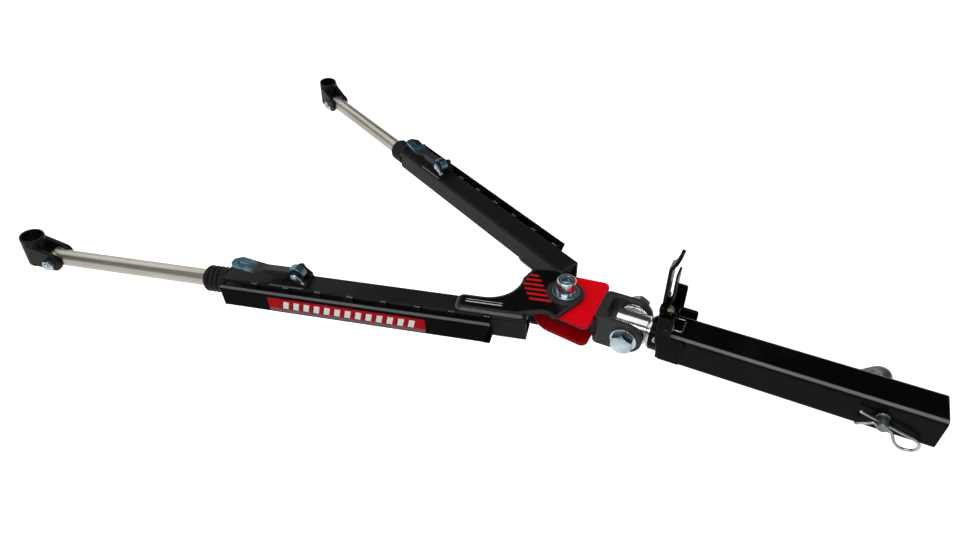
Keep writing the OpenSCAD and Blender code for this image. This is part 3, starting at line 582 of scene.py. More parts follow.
@dataclass(frozen=True)
class GlossPaint(Finish):
    """Glossy coloured coat with soft waves and edges where it lies thin."""

    colour: Colour = (0.76, 0.0008, 0.008)
    deep: Colour = (0.62, 0.0005, 0.006)
    rubbed: Colour = (0.75, 0.10, 0.09)
    roughness: float = 0.36
    waves: float = 22.0
    grain: float = 420.0
    wear_marks: float = 150.0
    reach: float = 0.0008

    def build(self, tree: Tree) -> bpy.types.Material:
        """Slow noise between two reds, a clear top coat on the edges and faint peel.

        Args:
            tree: The empty tree.

        Returns:
            The finished material.
        """
        point = tree.place()
        slow = tree.noise(point, self.waves)
        peel = tree.noise(point, self.grain)
        edge = tree.edges(self.reach)
        rub = edge * tree.noise(point, self.wear_marks, 3.0).smooth(0.4, 0.7)
        tone = tree.mix(slow.smooth(0.3, 0.75), self.colour, self.deep)
        return tree.finish(
            Base_Color=tree.mix(rub * 0.4, tone, self.rubbed),
            Roughness=self.roughness + slow.swing(0.1),
            Specular_IOR_Level=0.05,
            Coat_Weight=0.03 + 0.5 * edge,
            Coat_Roughness=0.2,
            Normal=tree.bump(peel, 0.06, 0.0004),
        )


@dataclass(frozen=True)
class MouldedRubber(Finish):
    """Matt rubber or plastic with a fine skin."""

    colour: Colour = (0.005, 0.005, 0.0052)
    pale: Colour = (0.035, 0.035, 0.036)
    roughness: float = 0.5
    gloss: float = 0.2
    pebbles: float = 1600.0
    bloom: float = 55.0
    reach: float = 0.0009

    def build(self, tree: Tree) -> bpy.types.Material:
        """Pale bloom in patches and on the edges, and a pebbled bump.

        Args:
            tree: The empty tree.

        Returns:
            The finished material.
        """
        point = tree.place()
        skin = tree.noise(point, self.pebbles)
        bloom = tree.noise(point, self.bloom, 3.0)
        edge = tree.edges(self.reach, high=0.35)
        return tree.finish(
            Base_Color=tree.mix(bloom.smooth(0.5, 0.8) * 0.35 + edge * 0.25, self.colour, self.pale),
            Roughness=self.roughness + bloom.swing(0.2),
            Specular_IOR_Level=self.gloss,
            Normal=tree.bump(skin, 0.12, 0.0003),
        )


@dataclass(frozen=True)
class BarLabel(Finish):
    """Printed strip: a red field that fades to grey below, with slanted pale bars and their shadows.

    The print map holds shares of the label's length and height.
    """

    field_colour: Colour = (0.52, 0.0015, 0.009)
    fade: Colour = (0.20, 0.18, 0.18)
    bar_colour: Colour = (0.96, 0.96, 0.95)
    shadow: Colour = (0.004, 0.003, 0.003)
    dirt: Colour = (0.08, 0.07, 0.07)
    bars: float = 15.0
    slant: float = 0.42
    bar: Span = (0.22, 0.76)
    bar_height: Span = (0.26, 0.82)
    shadow_shift: float = 0.1
    shadow_drop: float = 0.06

    def build(self, tree: Tree) -> bpy.types.Material:
        """Bars are a sawtooth of the label's length plus a share of its height; only whole bars show.

        Args:
            tree: The empty tree.

        Returns:
            The finished material.
        """
        along, height = tree.printed()
        ramp = along * self.bars + self.slant * height
        inside = ramp.band(1.05, self.bars - 1.0, 0.02)
        low, high = self.bar_height
        bars = ramp.math("FRACT").band(*self.bar, 0.02) * height.band(low, high, 0.012) * inside
        late = (ramp - self.shadow_shift).math("FRACT")
        under = height.band(low - self.shadow_drop, high - self.shadow_drop, 0.012)
        dark = late.band(*self.bar, 0.02) * under * inside
        grime = tree.noise(tree.place(), 60.0, 4.0)
        base = tree.mix(1.0 - height.smooth(0.02, 0.34), self.field_colour, self.fade)
        printed = tree.mix(bars, tree.mix(dark, base, self.shadow), self.bar_colour)
        return tree.finish(
            Base_Color=tree.mix(grime.smooth(0.55, 0.85) * 0.15, printed, self.dirt),
            Roughness=0.36 + grime.swing(0.16),
            Specular_IOR_Level=0.05,
            Normal=tree.bump(grime, 0.05, 0.0003),
        )


@dataclass(frozen=True)
class StripeDecal(Finish):
    """Printed black film with plain red stripes by the pivot and two pale lines along the pad.

    The print map holds arm distances in tenths of a metre.
    """

    film: Colour = (0.0016, 0.0016, 0.0018)
    stripe: Colour = (0.50, 0.006, 0.008)
    line: Colour = (0.55, 0.55, 0.55)
    dirt: Colour = (0.10, 0.10, 0.10)
    pitch: float = 0.105
    stripe_run: Span = (0.30, 0.62)
    stripe_across: Span = (-0.36, 0.27)
    thin_line: Span = (0.418, 0.427)
    thick_line: Span = (0.462, 0.480)
    line_run: Span = (0.86, 1.40)

    def build(self, tree: Tree) -> bpy.types.Material:
        """Stripes are bands of the distance across the arm, cut off along two slanted lines.

        Args:
            tree: The empty tree.

        Returns:
            The finished material.
        """
        along, across = tree.printed()
        phase = (across / self.pitch + 0.2).math("FRACT")
        start = along + 0.5 * across
        cut = start.band(*self.stripe_run, 0.008) * across.band(*self.stripe_across, 0.004)
        red = phase.band(0.2, 0.68, 0.03) * cut
        lines = across.band(*self.thin_line, 0.001) + across.band(*self.thick_line, 0.001)
        pale = lines * along.band(*self.line_run, 0.004)
        grime = tree.noise(tree.place(), 70.0, 4.0)
        colour = tree.mix(pale, tree.mix(red, self.film, self.stripe), self.line)
        return tree.finish(
            Base_Color=tree.mix(grime.smooth(0.5, 0.85) * 0.04, colour, self.dirt),
            Roughness=0.30 + grime.swing(0.12),
            Specular_IOR_Level=0.14,
            Normal=tree.bump(grime, 0.04, 0.0003),
        )


class Paint:
    """The finishes of this tow bar."""

    BLACK = PowderCoat("satin_black_coat")
    # Shank tube: a painted highlight in pale colour along its long bends.
    TUBE = BendHighlightCoat(
        "gloss_black_tube", colour=(0.0012, 0.0012, 0.0013), worn=(0.17, 0.17, 0.175),
        roughness=0.30, gloss=0.06, coat=0.035, wear=0.2,
    )
    PLATE = PowderCoat(
        "satin_black_plate", colour=(0.026, 0.026, 0.0268), worn=(0.2, 0.2, 0.205), reach=0.002
    )
    GLOSS = PowderCoat(
        "gloss_black_coat", colour=(0.0014, 0.0014, 0.0015), roughness=0.30, gloss=0.05,
        coat=0.03, wear=0.2, reach=0.003,
    )
    # The coat on the welds is lighter than the other black coats, a painted highlight standing in for light
    # on the beads; the edge wear on them is wear.
    WELD = PowderCoat(
        "black_coat_on_weld", colour=(0.07, 0.07, 0.071), worn=(0.36, 0.36, 0.37),
        roughness=0.32, gloss=0.35, coat=0.8, peel=0.25, wear=0.8, grain=420.0,
    )
    CAST = CastSteel("black_cast_steel")
    EYE = CastSteel(
        "black_eye_casting", colour=(0.0025, 0.0025, 0.0026), worn=(0.07, 0.07, 0.072), gloss=0.14
    )
    ZINC = Plating("bright_zinc")
    YELLOW = Plating(
        "yellow_zinc", light=(0.26, 0.24, 0.15), dark=(0.12, 0.11, 0.07), roughness=0.34,
        rubbed=0.15, black_before=-0.2835,
    )
    # Painted shade: the wire below X = -266.2 mm, the coils between the cheeks, is blackened as if in their
    # shadow; the loop behind stays plated.
    SPRING = Plating(
        "latch_spring_wire", light=(0.36, 0.35, 0.31), dark=(0.22, 0.21, 0.19), rubbed=0.2,
        black_before=-0.2662,
    )
    GREY = Plating(
        "grey_zinc", light=(0.25, 0.28, 0.26), dark=(0.16, 0.18, 0.17), roughness=0.42, clouds=90.0
    )
    WIRE = Plating("spring_wire", light=(0.55, 0.57, 0.58), dark=(0.30, 0.32, 0.34), roughness=0.22)
    BARE = Plating("turned_steel", light=(0.76, 0.76, 0.76), dark=(0.52, 0.53, 0.55), roughness=0.15)
    RED = GlossPaint("gloss_red_coat")
    # Painted shade: a darker copy of the red coat for the lower plate, which lies in the upper plate's
    # shadow.
    SHADED_RED = GlossPaint("shaded_red_coat", colour=(0.38, 0.0003, 0.004), deep=(0.27, 0.0002, 0.003))
    RUBBER = MouldedRubber("boot_rubber")
    PLASTIC = MouldedRubber("bearing_plastic", colour=(0.55, 0.52, 0.42), pale=(0.68, 0.66, 0.58))
    LABEL = BarLabel("channel_label")
    DECAL = StripeDecal("plate_film")


@dataclass
class Shell:
    """A grid of points, rows by columns by 3, and how it closes."""

    points: Array
    close_rows: bool = False
    close_columns: bool = True

    def faces(self, first: int) -> list:
        """Quads between neighbouring grid points, and a flat face on each open end of a tube.

        Args:
            first: Number of the shell's first point in the whole mesh.

        Returns:
            The faces as lists of point numbers.
        """
        rows, columns = self.points.shape[:2]
        row = np.arange(rows if self.close_rows else rows - 1)[:, None]
        column = np.arange(columns if self.close_columns else columns - 1)[None, :]
        next_row = (row + 1) % rows
        next_column = (column + 1) % columns
        corners = [row * columns + column, row * columns + next_column]
        corners += [next_row * columns + next_column, next_row * columns + column]
        quads = np.stack(corners, -1).reshape(-1, 4) + first
        faces = quads.tolist()
        if self.close_columns and not self.close_rows:
            ring = np.arange(columns)
            faces.append((first + ring[::-1]).tolist())
            faces.append((first + (rows - 1) * columns + ring).tolist())
        return faces


def around(count: int) -> Array:
    """Even angles once round."""
    return np.linspace(0.0, 2.0 * np.pi, count, endpoint=False)


def round_grid(radius: Array, height: Array, angle: Array) -> Array:
    """Grid round Z: a point at radius r, angle a and height h becomes r cos a, r sin a, h.

    Args:
        radius: Radii, rows by angles.
        height: Height of each row.
        angle: Angle of each column.

    Returns:
        The grid of points.
    """
    rows = np.broadcast_to(height[:, None], radius.shape)
    return np.stack([radius * np.cos(angle), radius * np.sin(angle), rows], -1)


def lathe(profile: Array | list, count: int = 48) -> Array:
    """Surface of revolution about Z: each height and radius of the profile goes once round.

    Args:
        profile: Heights and radii, one row each.
        count: Points round the axis.

    Returns:
        The grid of points.
    """
    height, radius = np.asarray(profile, float).T
    return round_grid(np.broadcast_to(radius[:, None], (len(radius), count)), height, around(count))


def sweep(path: Array, section: Array, reference: Point, scale: Array | float = 1.0) -> Array:
    """A section carried along a path: path + scale (section x normal + section y binormal).

    The binormal is the reference less its share along the path, and the normal is square to both.

    Args:
        path: Points of the path.
        section: Points of the section, round once.
        reference: A direction that the path never follows.
        scale: Size of the section at each point of the path.

    Returns:
        The grid of points.
    """
    tangent = np.gradient(path, axis=0)
    tangent /= np.linalg.norm(tangent, axis=1, keepdims=True)
    axis = np.asarray(reference, float)
    binormal = axis - (tangent @ axis)[:, None] * tangent
    binormal /= np.linalg.norm(binormal, axis=1, keepdims=True)
    normal = np.cross(binormal, tangent)
    size = np.broadcast_to(np.asarray(scale, float), (len(path),))[:, None, None]
    spread = section[None, :, :1] * normal[:, None, :] + section[None, :, 1:] * binormal[:, None, :]
    return path[:, None, :] + size * spread


def circle(radius: float, count: int = 16) -> Array:
    """Points of a circle: radius times cosine and sine of even angles."""
    angle = around(count)
    return radius * np.stack([np.cos(angle), np.sin(angle)], -1)


def spline(points: Array, steps: int) -> Array:
    """Smooth curve through points: cubic spans whose end slopes are half the neighbours' distance.

    Args:
        points: The points that the curve passes.
        steps: Points on each span.

    Returns:
        The curve's points.
    """
    p = np.asarray(points, float)
    padded = np.concatenate([p[:1], p, p[-1:]])
    t = (np.arange(steps) / steps)[None, :, None]
    a, b, c, d = (padded[k:len(p) - 1 + k, None, :] for k in range(4))
    spans = 2 * b + (c - a) * t + (2 * a - 5 * b + 4 * c - d) * t**2 + (3 * b - a - 3 * c + d) * t**3
    return np.concatenate([0.5 * spans.reshape(-1, p.shape[1]), p[-1:]])


def lengths(path: Array) -> Array:
    """Length of a path from its start to each of its points."""
    step = np.linalg.norm(np.diff(path, axis=0), axis=1)
    return np.concatenate([[0.0], np.cumsum(step)])


def along_path(path: Array, places: Array) -> Array:
    """Points at given lengths along a path, on the straight lines between its points."""
    length = lengths(path)
    return np.stack([np.interp(places, length, column) for column in path.T], -1)


def smoothstep(x: Array, low: float, high: float) -> Array:
    """Cubic step 3t^2 - 2t^3 between low and high."""
    t = np.clip((x - low) / (high - low), 0.0, 1.0)
    return t * t * (3.0 - 2.0 * t)


def rounded_ring(inner: float, outer: float, low: float, high: float, edge: float) -> Array:
    """Closed profile of a washer: a rectangle of radii and heights whose corners are quarter circles.

    Args:
        inner: Bore radius.
        outer: Outside radius.
        low: Lower face.
        high: Upper face.
        edge: Radius of the corners.

    Returns:
        Heights and radii, once round.
    """
    t = np.linspace(0.0, np.pi / 2, 5)
    parts = []
    for turn, height, radius in ((0, low, outer), (1, high, outer), (2, high, inner), (3, low, inner)):
        angle = t + turn * np.pi / 2 - np.pi / 2
        centre_h = height + edge * (1 if height == low else -1)
        centre_r = radius + edge * (-1 if radius == outer else 1)
        parts.append(np.stack([centre_h + edge * np.sin(angle), centre_r + edge * np.cos(angle)], -1))
    return np.concatenate(parts)


def hexagon(flats: float, angle: Array) -> Array:
    """Radius of a hexagon at an angle: half the flats over the cosine of the angle to the nearest flat."""
    return flats / 2 / np.cos((angle % (np.pi / 3)) - np.pi / 6)


def hex_body(flats: float, height: float, both: bool = False, count: int = 96) -> Array:
    """Hexagon head whose corners are cut by a cone: the radius is the smaller of hexagon and cone.

    Args:
        flats: Width across the flats.
        height: Height along Z, from 0.
        both: Whether the cone cuts the lower end too, as on a nut.
        count: Points round the axis.

    Returns:
        The grid of points.
    """
    angle = around(count)
    shares = [0.0, 0.02, 0.05, 0.09, 0.14, 0.2, 0.5, 0.78, 0.83, 0.88, 0.92, 0.96, 0.985, 1.0]
    rows = height * np.array(shares)
    face, slope = 0.475 * flats, 1.75
    top = face + (height - rows) * slope
    low = face + rows * slope if both else np.full_like(rows, flats)
    radius = np.minimum(hexagon(flats, angle)[None, :], np.minimum(top, low)[:, None])
    return round_grid(radius, rows, angle)


def thread(radius: float, low: float, high: float, pitch: float, count: int = 32) -> Array:
    """Screw thread: the radius falls by a triangle wave of height over pitch less one turn per round.

    Args:
        radius: Outside radius.
        low: Where the thread starts along Z.
        high: Where it ends, in a short cone.
        pitch: Rise of one turn.
        count: Points round the axis.

    Returns:
        The grid of points.
    """
    angle = around(count)
    cone, depth, tip = 1.2, 0.3 * pitch, 0.09 * radius
    rows = np.linspace(low, high, max(6, int((high - low) / pitch * 6)))
    wave = np.abs(((rows[:, None] / pitch - angle / (2 * np.pi)) % 1.0) - 0.5) * 2.0
    end = smoothstep(rows, high - cone, high)[:, None]
    return round_grid(radius - depth * wave * (1 - end) - tip * end, rows, angle)


def turned(axis: Point, place: Point) -> Matrix:
    """Matrix that stands local Z along an axis at a place.

    Args:
        axis: Direction of local Z.
        place: Where the local origin goes.

    Returns:
        The matrix.
    """
    z = np.asarray(axis, float) / np.linalg.norm(axis)
    helper = np.array(ALONG) if abs(z[0]) < 0.9 else np.array(ACROSS)
    x = np.cross(helper, z)
    x /= np.linalg.norm(x)
    matrix = np.eye(4)
    matrix[:3, :3] = np.stack([x, np.cross(z, x), z], 1)
    matrix[:3, 3] = place
    return Matrix(matrix.tolist())


def moved(points: Array, matrix: Matrix) -> Array:
    """Grid of points under a matrix."""
    m = np.array(matrix)
    return points @ m[:3, :3].T + m[:3, 3]


def dress(
    obj: bpy.types.Object, finish: Finish, body: str, slot: str | None, stands_for: tuple[str, ...]
) -> None:
    """Gives a piece its finish, the body it rides on and the nodes it stands for.

    Args:
        obj: The piece.
        finish: Its finish.
        body: Body that carries it.
        slot: The record's slot of its finish, if it has one; not used.
        stands_for: Nodes that it replaces.
    """
    obj.data.materials.clear()
    obj.data.materials.append(finish.material())
    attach(obj, body)
    if stands_for:
        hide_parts(*stands_for)
    LOG.info("%s on %s: %d faces", obj.name, body, len(obj.data.polygons))


def link(name: str, data: bpy.types.ID) -> bpy.types.Object:
    """New object of some data, in the scene.

    Args:
        name: The object's name.
        data: Its mesh, lamp or camera.

    Returns:
        The object.
    """
    obj = bpy.data.objects.new(name, data)
    bpy.context.scene.collection.objects.link(obj)
    return obj


def smooth_shade(mesh: bpy.types.Mesh, angle: float) -> None:
    """Smooth shading with sharp edges past an angle.

    Args:
        mesh: The mesh.
        angle: The angle in degrees.
    """
    mesh.polygons.foreach_set("use_smooth", np.ones(len(mesh.polygons), bool))
    mesh.set_sharp_from_angle(angle=math.radians(angle))
    mesh.update()


def turn_outwards(mesh: bpy.types.Mesh) -> None:
    """Merges points that lie on each other, and turns the faces outwards.

    Args:
        mesh: The mesh.
    """
    work = bmesh.new()
    work.from_mesh(mesh)
    bmesh.ops.remove_doubles(work, verts=work.verts, dist=MERGE)
    bmesh.ops.recalc_face_normals(work, faces=work.faces)
    work.to_mesh(mesh)
    work.free()


def build(name: str, shells: list[Shell], sharp: float = 40.0) -> bpy.types.Object:
    """Makes one object from shells in millimetres, with its faces turned outwards.

    Args:
        name: The piece's name.
        shells: Its closed shells.
        sharp: Angle in degrees past which an edge stays sharp.

    Returns:
        The new object.
    """
    points = []
    faces = []
    count = 0
    for shell in shells:
        faces += shell.faces(count)
        points.append(shell.points.reshape(-1, 3))
        count += len(points[-1])
    mesh = bpy.data.meshes.new(name)
    mesh.from_pydata((np.concatenate(points) * MM).tolist(), [], faces)
    turn_outwards(mesh)
    smooth_shade(mesh, sharp)
    return link(name, mesh)


@dataclass
class Frame:
    """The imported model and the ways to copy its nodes."""

    loaded: dict

    def paint(self, finish: Finish, *nodes: str) -> None:
        """Gives nodes that stay as they are a finish.

        Args:
            finish: The finish.
            nodes: The nodes.
        """
        for node in nodes:
            obj = self.loaded["nodes"][node]
            obj.data.materials.clear()
            obj.data.materials.append(finish.material())
            LOG.info("%s stays as a solid", node)

    def soften(
        self, node: str, finish: Finish, slot: str, edge: float, segments: int = 3, sharp: float = 35.0,
        wide: float = 0.0, pick: Callable[[Array], bool] | None = None,
    ) -> None:
        """Replaces a node by a merged copy with rounded edges.

        Args:
            node: The node.
            finish: Finish of the copy.
            slot: The record's slot.
            edge: Width of the rounding in millimetres.
            segments: Faces across the rounding.
            sharp: Angle past which an edge is rounded.
            wide: Width of the rounding on the edges that are picked.
            pick: Says of an edge's middle, in millimetres, whether it is picked.
        """
        solid = self.loaded["nodes"][node]
        mesh = solid.data.copy()
        mesh.name = f"{node}_rounded"
        work = bmesh.new()
        work.from_mesh(mesh)
        bmesh.ops.remove_doubles(work, verts=work.verts, dist=MERGE_SOLID)
        bmesh.ops.dissolve_limit(work, angle_limit=FLAT_ANGLE, verts=work.verts, edges=work.edges)
        weight = work.edges.layers.float.new("bevel_weight_edge")
        full = max(edge, wide)
        for line in work.edges:
            if line.is_manifold and line.calc_face_angle() > math.radians(sharp):
                middle = np.array((line.verts[0].co + line.verts[1].co) / 2) / MM
                line[weight] = 1.0 if pick and pick(middle) else edge / full
        work.to_mesh(mesh)
        work.free()
        if mesh.attributes.get("custom_normal"):
            mesh.attributes.remove(mesh.attributes["custom_normal"])
        smooth_shade(mesh, sharp)
        obj = link(f"{node}_rounded", mesh)
        bevel = obj.modifiers.new("rounded_edges", "BEVEL")
        bevel.width = full * MM
        bevel.segments = segments
        bevel.limit_method = "WEIGHT"
        bevel.use_clamp_overlap = False
        bevel.miter_outer = "MITER_ARC"
        weights = obj.modifiers.new("flat_faces", "WEIGHTED_NORMAL")
        weights.keep_sharp = True
        dress(obj, finish, solid["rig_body"], slot, (node,))


def hex_bolt(flats: float, head: float, radius: float, low: float, threaded: float) -> list[Array]:
    """Hexagon bolt along Z: head from 0 up, plain shank down to its thread, which ends at low.

    Args:
        flats: Width across the flats.
        head: Height of the head.
        radius: Radius of the shank.
        low: End of the bolt, below 0.
        threaded: Length of thread at the end.

    Returns:
        The grids of the head, the shank, the thread and the round face under the head.
    """
    start = low + threaded
    shank = [[start - 0.5, radius * 0.99], [start, radius], [0.5, radius]]
    spiral = thread(radius, -start, -low, THREAD_PITCH) * DOWNWARDS
    face = [[-0.35, flats * 0.47], [0.6, flats * 0.47]]
    return [hex_body(flats, head), lathe(shank, 40), spiral, lathe(face, 64)]


def bead(path: Array, width: float, reference: Point, ripple: float = 2.6) -> Shell:
    """Weld bead: a flattened round section along a path whose size swells once per ripple.

    Args:
        path: Points of the seam.
        width: Width of the bead.
        reference: Direction out of the seam's plane.
        ripple: Length of one ripple.

    Returns:
        The bead's shell.
    """
    whole = lengths(path)[-1]
    fine = np.linspace(0.0, whole, max(12, int(whole / ripple * 6)))
    swell = 0.86 + 0.16 * np.abs(np.sin(np.pi * fine / ripple))
    swell += 0.07 * np.sin(fine * 0.9) * np.sin(fine * 0.37)
    ends = np.sqrt(np.clip(np.minimum(fine, whole - fine) / (0.6 * width), 0.03, 1.0))
    section = circle(width / 2, 14) * np.array([1.0, 0.8])
    return Shell(sweep(along_path(path, fine), section, reference, swell * ends))


@dataclass
class Shank:
    """Receiver tube with its front bush, the bush's screw, and welds."""

    frame: Frame
    collar_d: float = 49.0
    screw_back: float = 4.3
    screw_turn: float = 70.0
    screw_head: tuple[Span, ...] = (
        (0.0, 4.0), (0.9, 4.0), (1.6, 3.6), (2.1, 2.8), (2.2, 2.0), (0.9, 1.7), (0.8, 0.4)
    )
    seam_r: float = 24.3
    seam_front: float = 0.4
    seam_w: float = 2.6
    weld_w: float = 3.4
    weld_out: float = 0.6
    foot_x: Span = (-276.0, -250.0)
    foot_z: float = -18.6
    rear_x: Span = (-246.0, -241.2)
    rear_z: Span = (-12.0, 16.0)

    def make(self) -> None:
        """Rounds the tube's ends and the bush's edges, and adds the screw and the welds."""
        self.frame.soften("shank_tube", Paint.TUBE, "black_coat", 0.8)
        self.frame.soften("front_bush", Paint.GLOSS, "black_coat", 0.9)
        angle = math.radians(self.screw_turn)
        out = (0.0, -math.sin(angle), math.cos(angle))
        place = (SHANK_FRONT_X - self.screw_back, out[1] * self.collar_d / 2, out[2] * self.collar_d / 2)
        head = moved(lathe(self.screw_head, 32), turned(out, place))
        dress(build("collar_screw_head", [Shell(head)]), Paint.ZINC, "shank", "zinc", ("collar_screw",))
        dress(build("shank_weld_beads", self.welds()), Paint.GLOSS, "shank", "black_coat", ())

    def welds(self) -> list[Shell]:
        """A seam round the collar, and two beads at the foot and rear of each cheek.

        Returns:
            The beads.
        """
        turn = np.linspace(0, 2 * np.pi, 90)
        front = np.full_like(turn, SHANK_FRONT_X - self.seam_front)
        seam = np.stack([front, self.seam_r * np.cos(turn), self.seam_r * np.sin(turn)], -1)
        beads = [bead(seam, self.seam_w, ALONG)]
        for side, rear in zip((-1, 1), self.rear_x):
            y = side * (SHANK_HALF + self.weld_out)
            foot = np.array([[x, y, self.foot_z] for x in self.foot_x])
            back = np.array([[rear, y, z] for z in self.rear_z])
            beads += [bead(path, self.weld_w, ACROSS) for path in (foot, back)]
        return beads


@dataclass
class HitchPin:
    """Bent hitch pin and its hairpin clip."""

    diameter: float = 15.9
    clip_end: float = -43.4
    bend_start: float = 47.4
    bend_radius: float = 16.0
    handle: float = 32.0
    drop: float = 45.0
    end_rows: tuple[float, ...] = (0.0, 0.3, 0.8, 1.5, 2.4)
    end_reach: float = 3.4
    end_round: float = 3.0
    end_share: float = 0.72
    neck: float = 0.82
    neck_len: float = 18.8
    neck_step: float = 1.5
    wire: float = 4.0
    clip_y: float = -32.9
    clip_turn: float = 16.0
    clip_leg: float = 38.0
    clip_tail: float = 29.0
    clip_gap: float = 0.3

    def path(self) -> Array:
        """Line of the pin: straight along Y, a quarter circle, and straight along the handle.

        Returns:
            The line's points.
        """
        slope = math.radians(self.drop)
        aside = np.array([-math.cos(slope), 0.0, -math.sin(slope)])
        along = np.array(ACROSS)
        straight = np.linspace(self.clip_end, self.bend_start, 40)[:-1, None] * along
        t = np.linspace(0.0, np.pi / 2, 18)[:, None]
        start = self.bend_start * along
        bend = start + self.bend_radius * ((1 - np.cos(t)) * aside + np.sin(t) * along)
        run = np.linspace(0.0, self.handle, 16)[1:, None] * aside + bend[-1]
        return np.concatenate([straight, bend, run])

    def make(self) -> None:
        """Builds the pin with round ends and a neck under its clip, and the clip."""
        path = self.path()
        whole = lengths(path)[-1]
        first = np.array(self.end_rows)
        middle = np.linspace(self.end_reach, whole - self.end_reach, 120)
        places = np.concatenate([first, middle, whole - first[::-1]])
        inward = np.clip(np.minimum(places, whole - places) / self.end_round, 0, 1)
        taper = self.end_share + (1 - self.end_share) * np.sqrt(1 - (1 - inward) ** 2)
        past = smoothstep(places, self.neck_len - self.neck_step, self.neck_len)
        taper *= self.neck + (1 - self.neck) * past
        slope = math.radians(self.drop)
        flat = (math.sin(slope), 0.0, -math.cos(slope))
        grid = sweep(along_path(path, places), circle(self.diameter / 2, 40), flat, taper)
        dress(build("hitch_pin_bent", [Shell(grid)]), Paint.GREY, "hitch_pin", "grey_zinc", ("hitch_pin",))
        clip = build("hairpin_clip_wire", [self.clip()])
        dress(clip, Paint.WIRE, "hitch_pin", "spring_wire", ("hairpin_clip",))

    def clip(self) -> Shell:
        """Hairpin clip: wire along a smooth curve of a straight leg, a bow and a leg that hugs the pin.

        Returns:
            The clip's shell.
        """
        leg, tail = self.clip_leg, self.clip_tail
        wrap = self.neck * self.diameter / 2 + self.wire / 2 + self.clip_gap
        points = np.array([
            [-tail, 0], [-tail / 2, 0], [0, 0], [leg / 2, 0], [leg + 4, -1], [leg + 12, -8],
            [leg + 10, -18], [leg, -23], [leg - 10, -20], [self.diameter - 1, -self.wire - 3],
            [wrap * 0.75, -wrap * 0.72], [0, -wrap], [-wrap * 0.75, -wrap * 0.72],
            [3 - self.diameter, -wrap - 4], [7 - tail, -wrap - 14],
        ])
        flat = spline(points, 10)
        turn = math.radians(self.clip_turn)
        x = flat[:, 0] * math.cos(turn) + flat[:, 1] * math.sin(turn)
        z = flat[:, 1] * math.cos(turn) - flat[:, 0] * math.sin(turn)
        path = np.stack([x, np.full_like(x, self.clip_y), z], -1)
        index = np.arange(len(path))
        taper = np.sqrt(np.clip((np.minimum(index, index[::-1]) + 0.35) / 2.0, 0.0, 1.0))
        return Shell(sweep(path, circle(self.wire / 2, 16), ACROSS, taper))


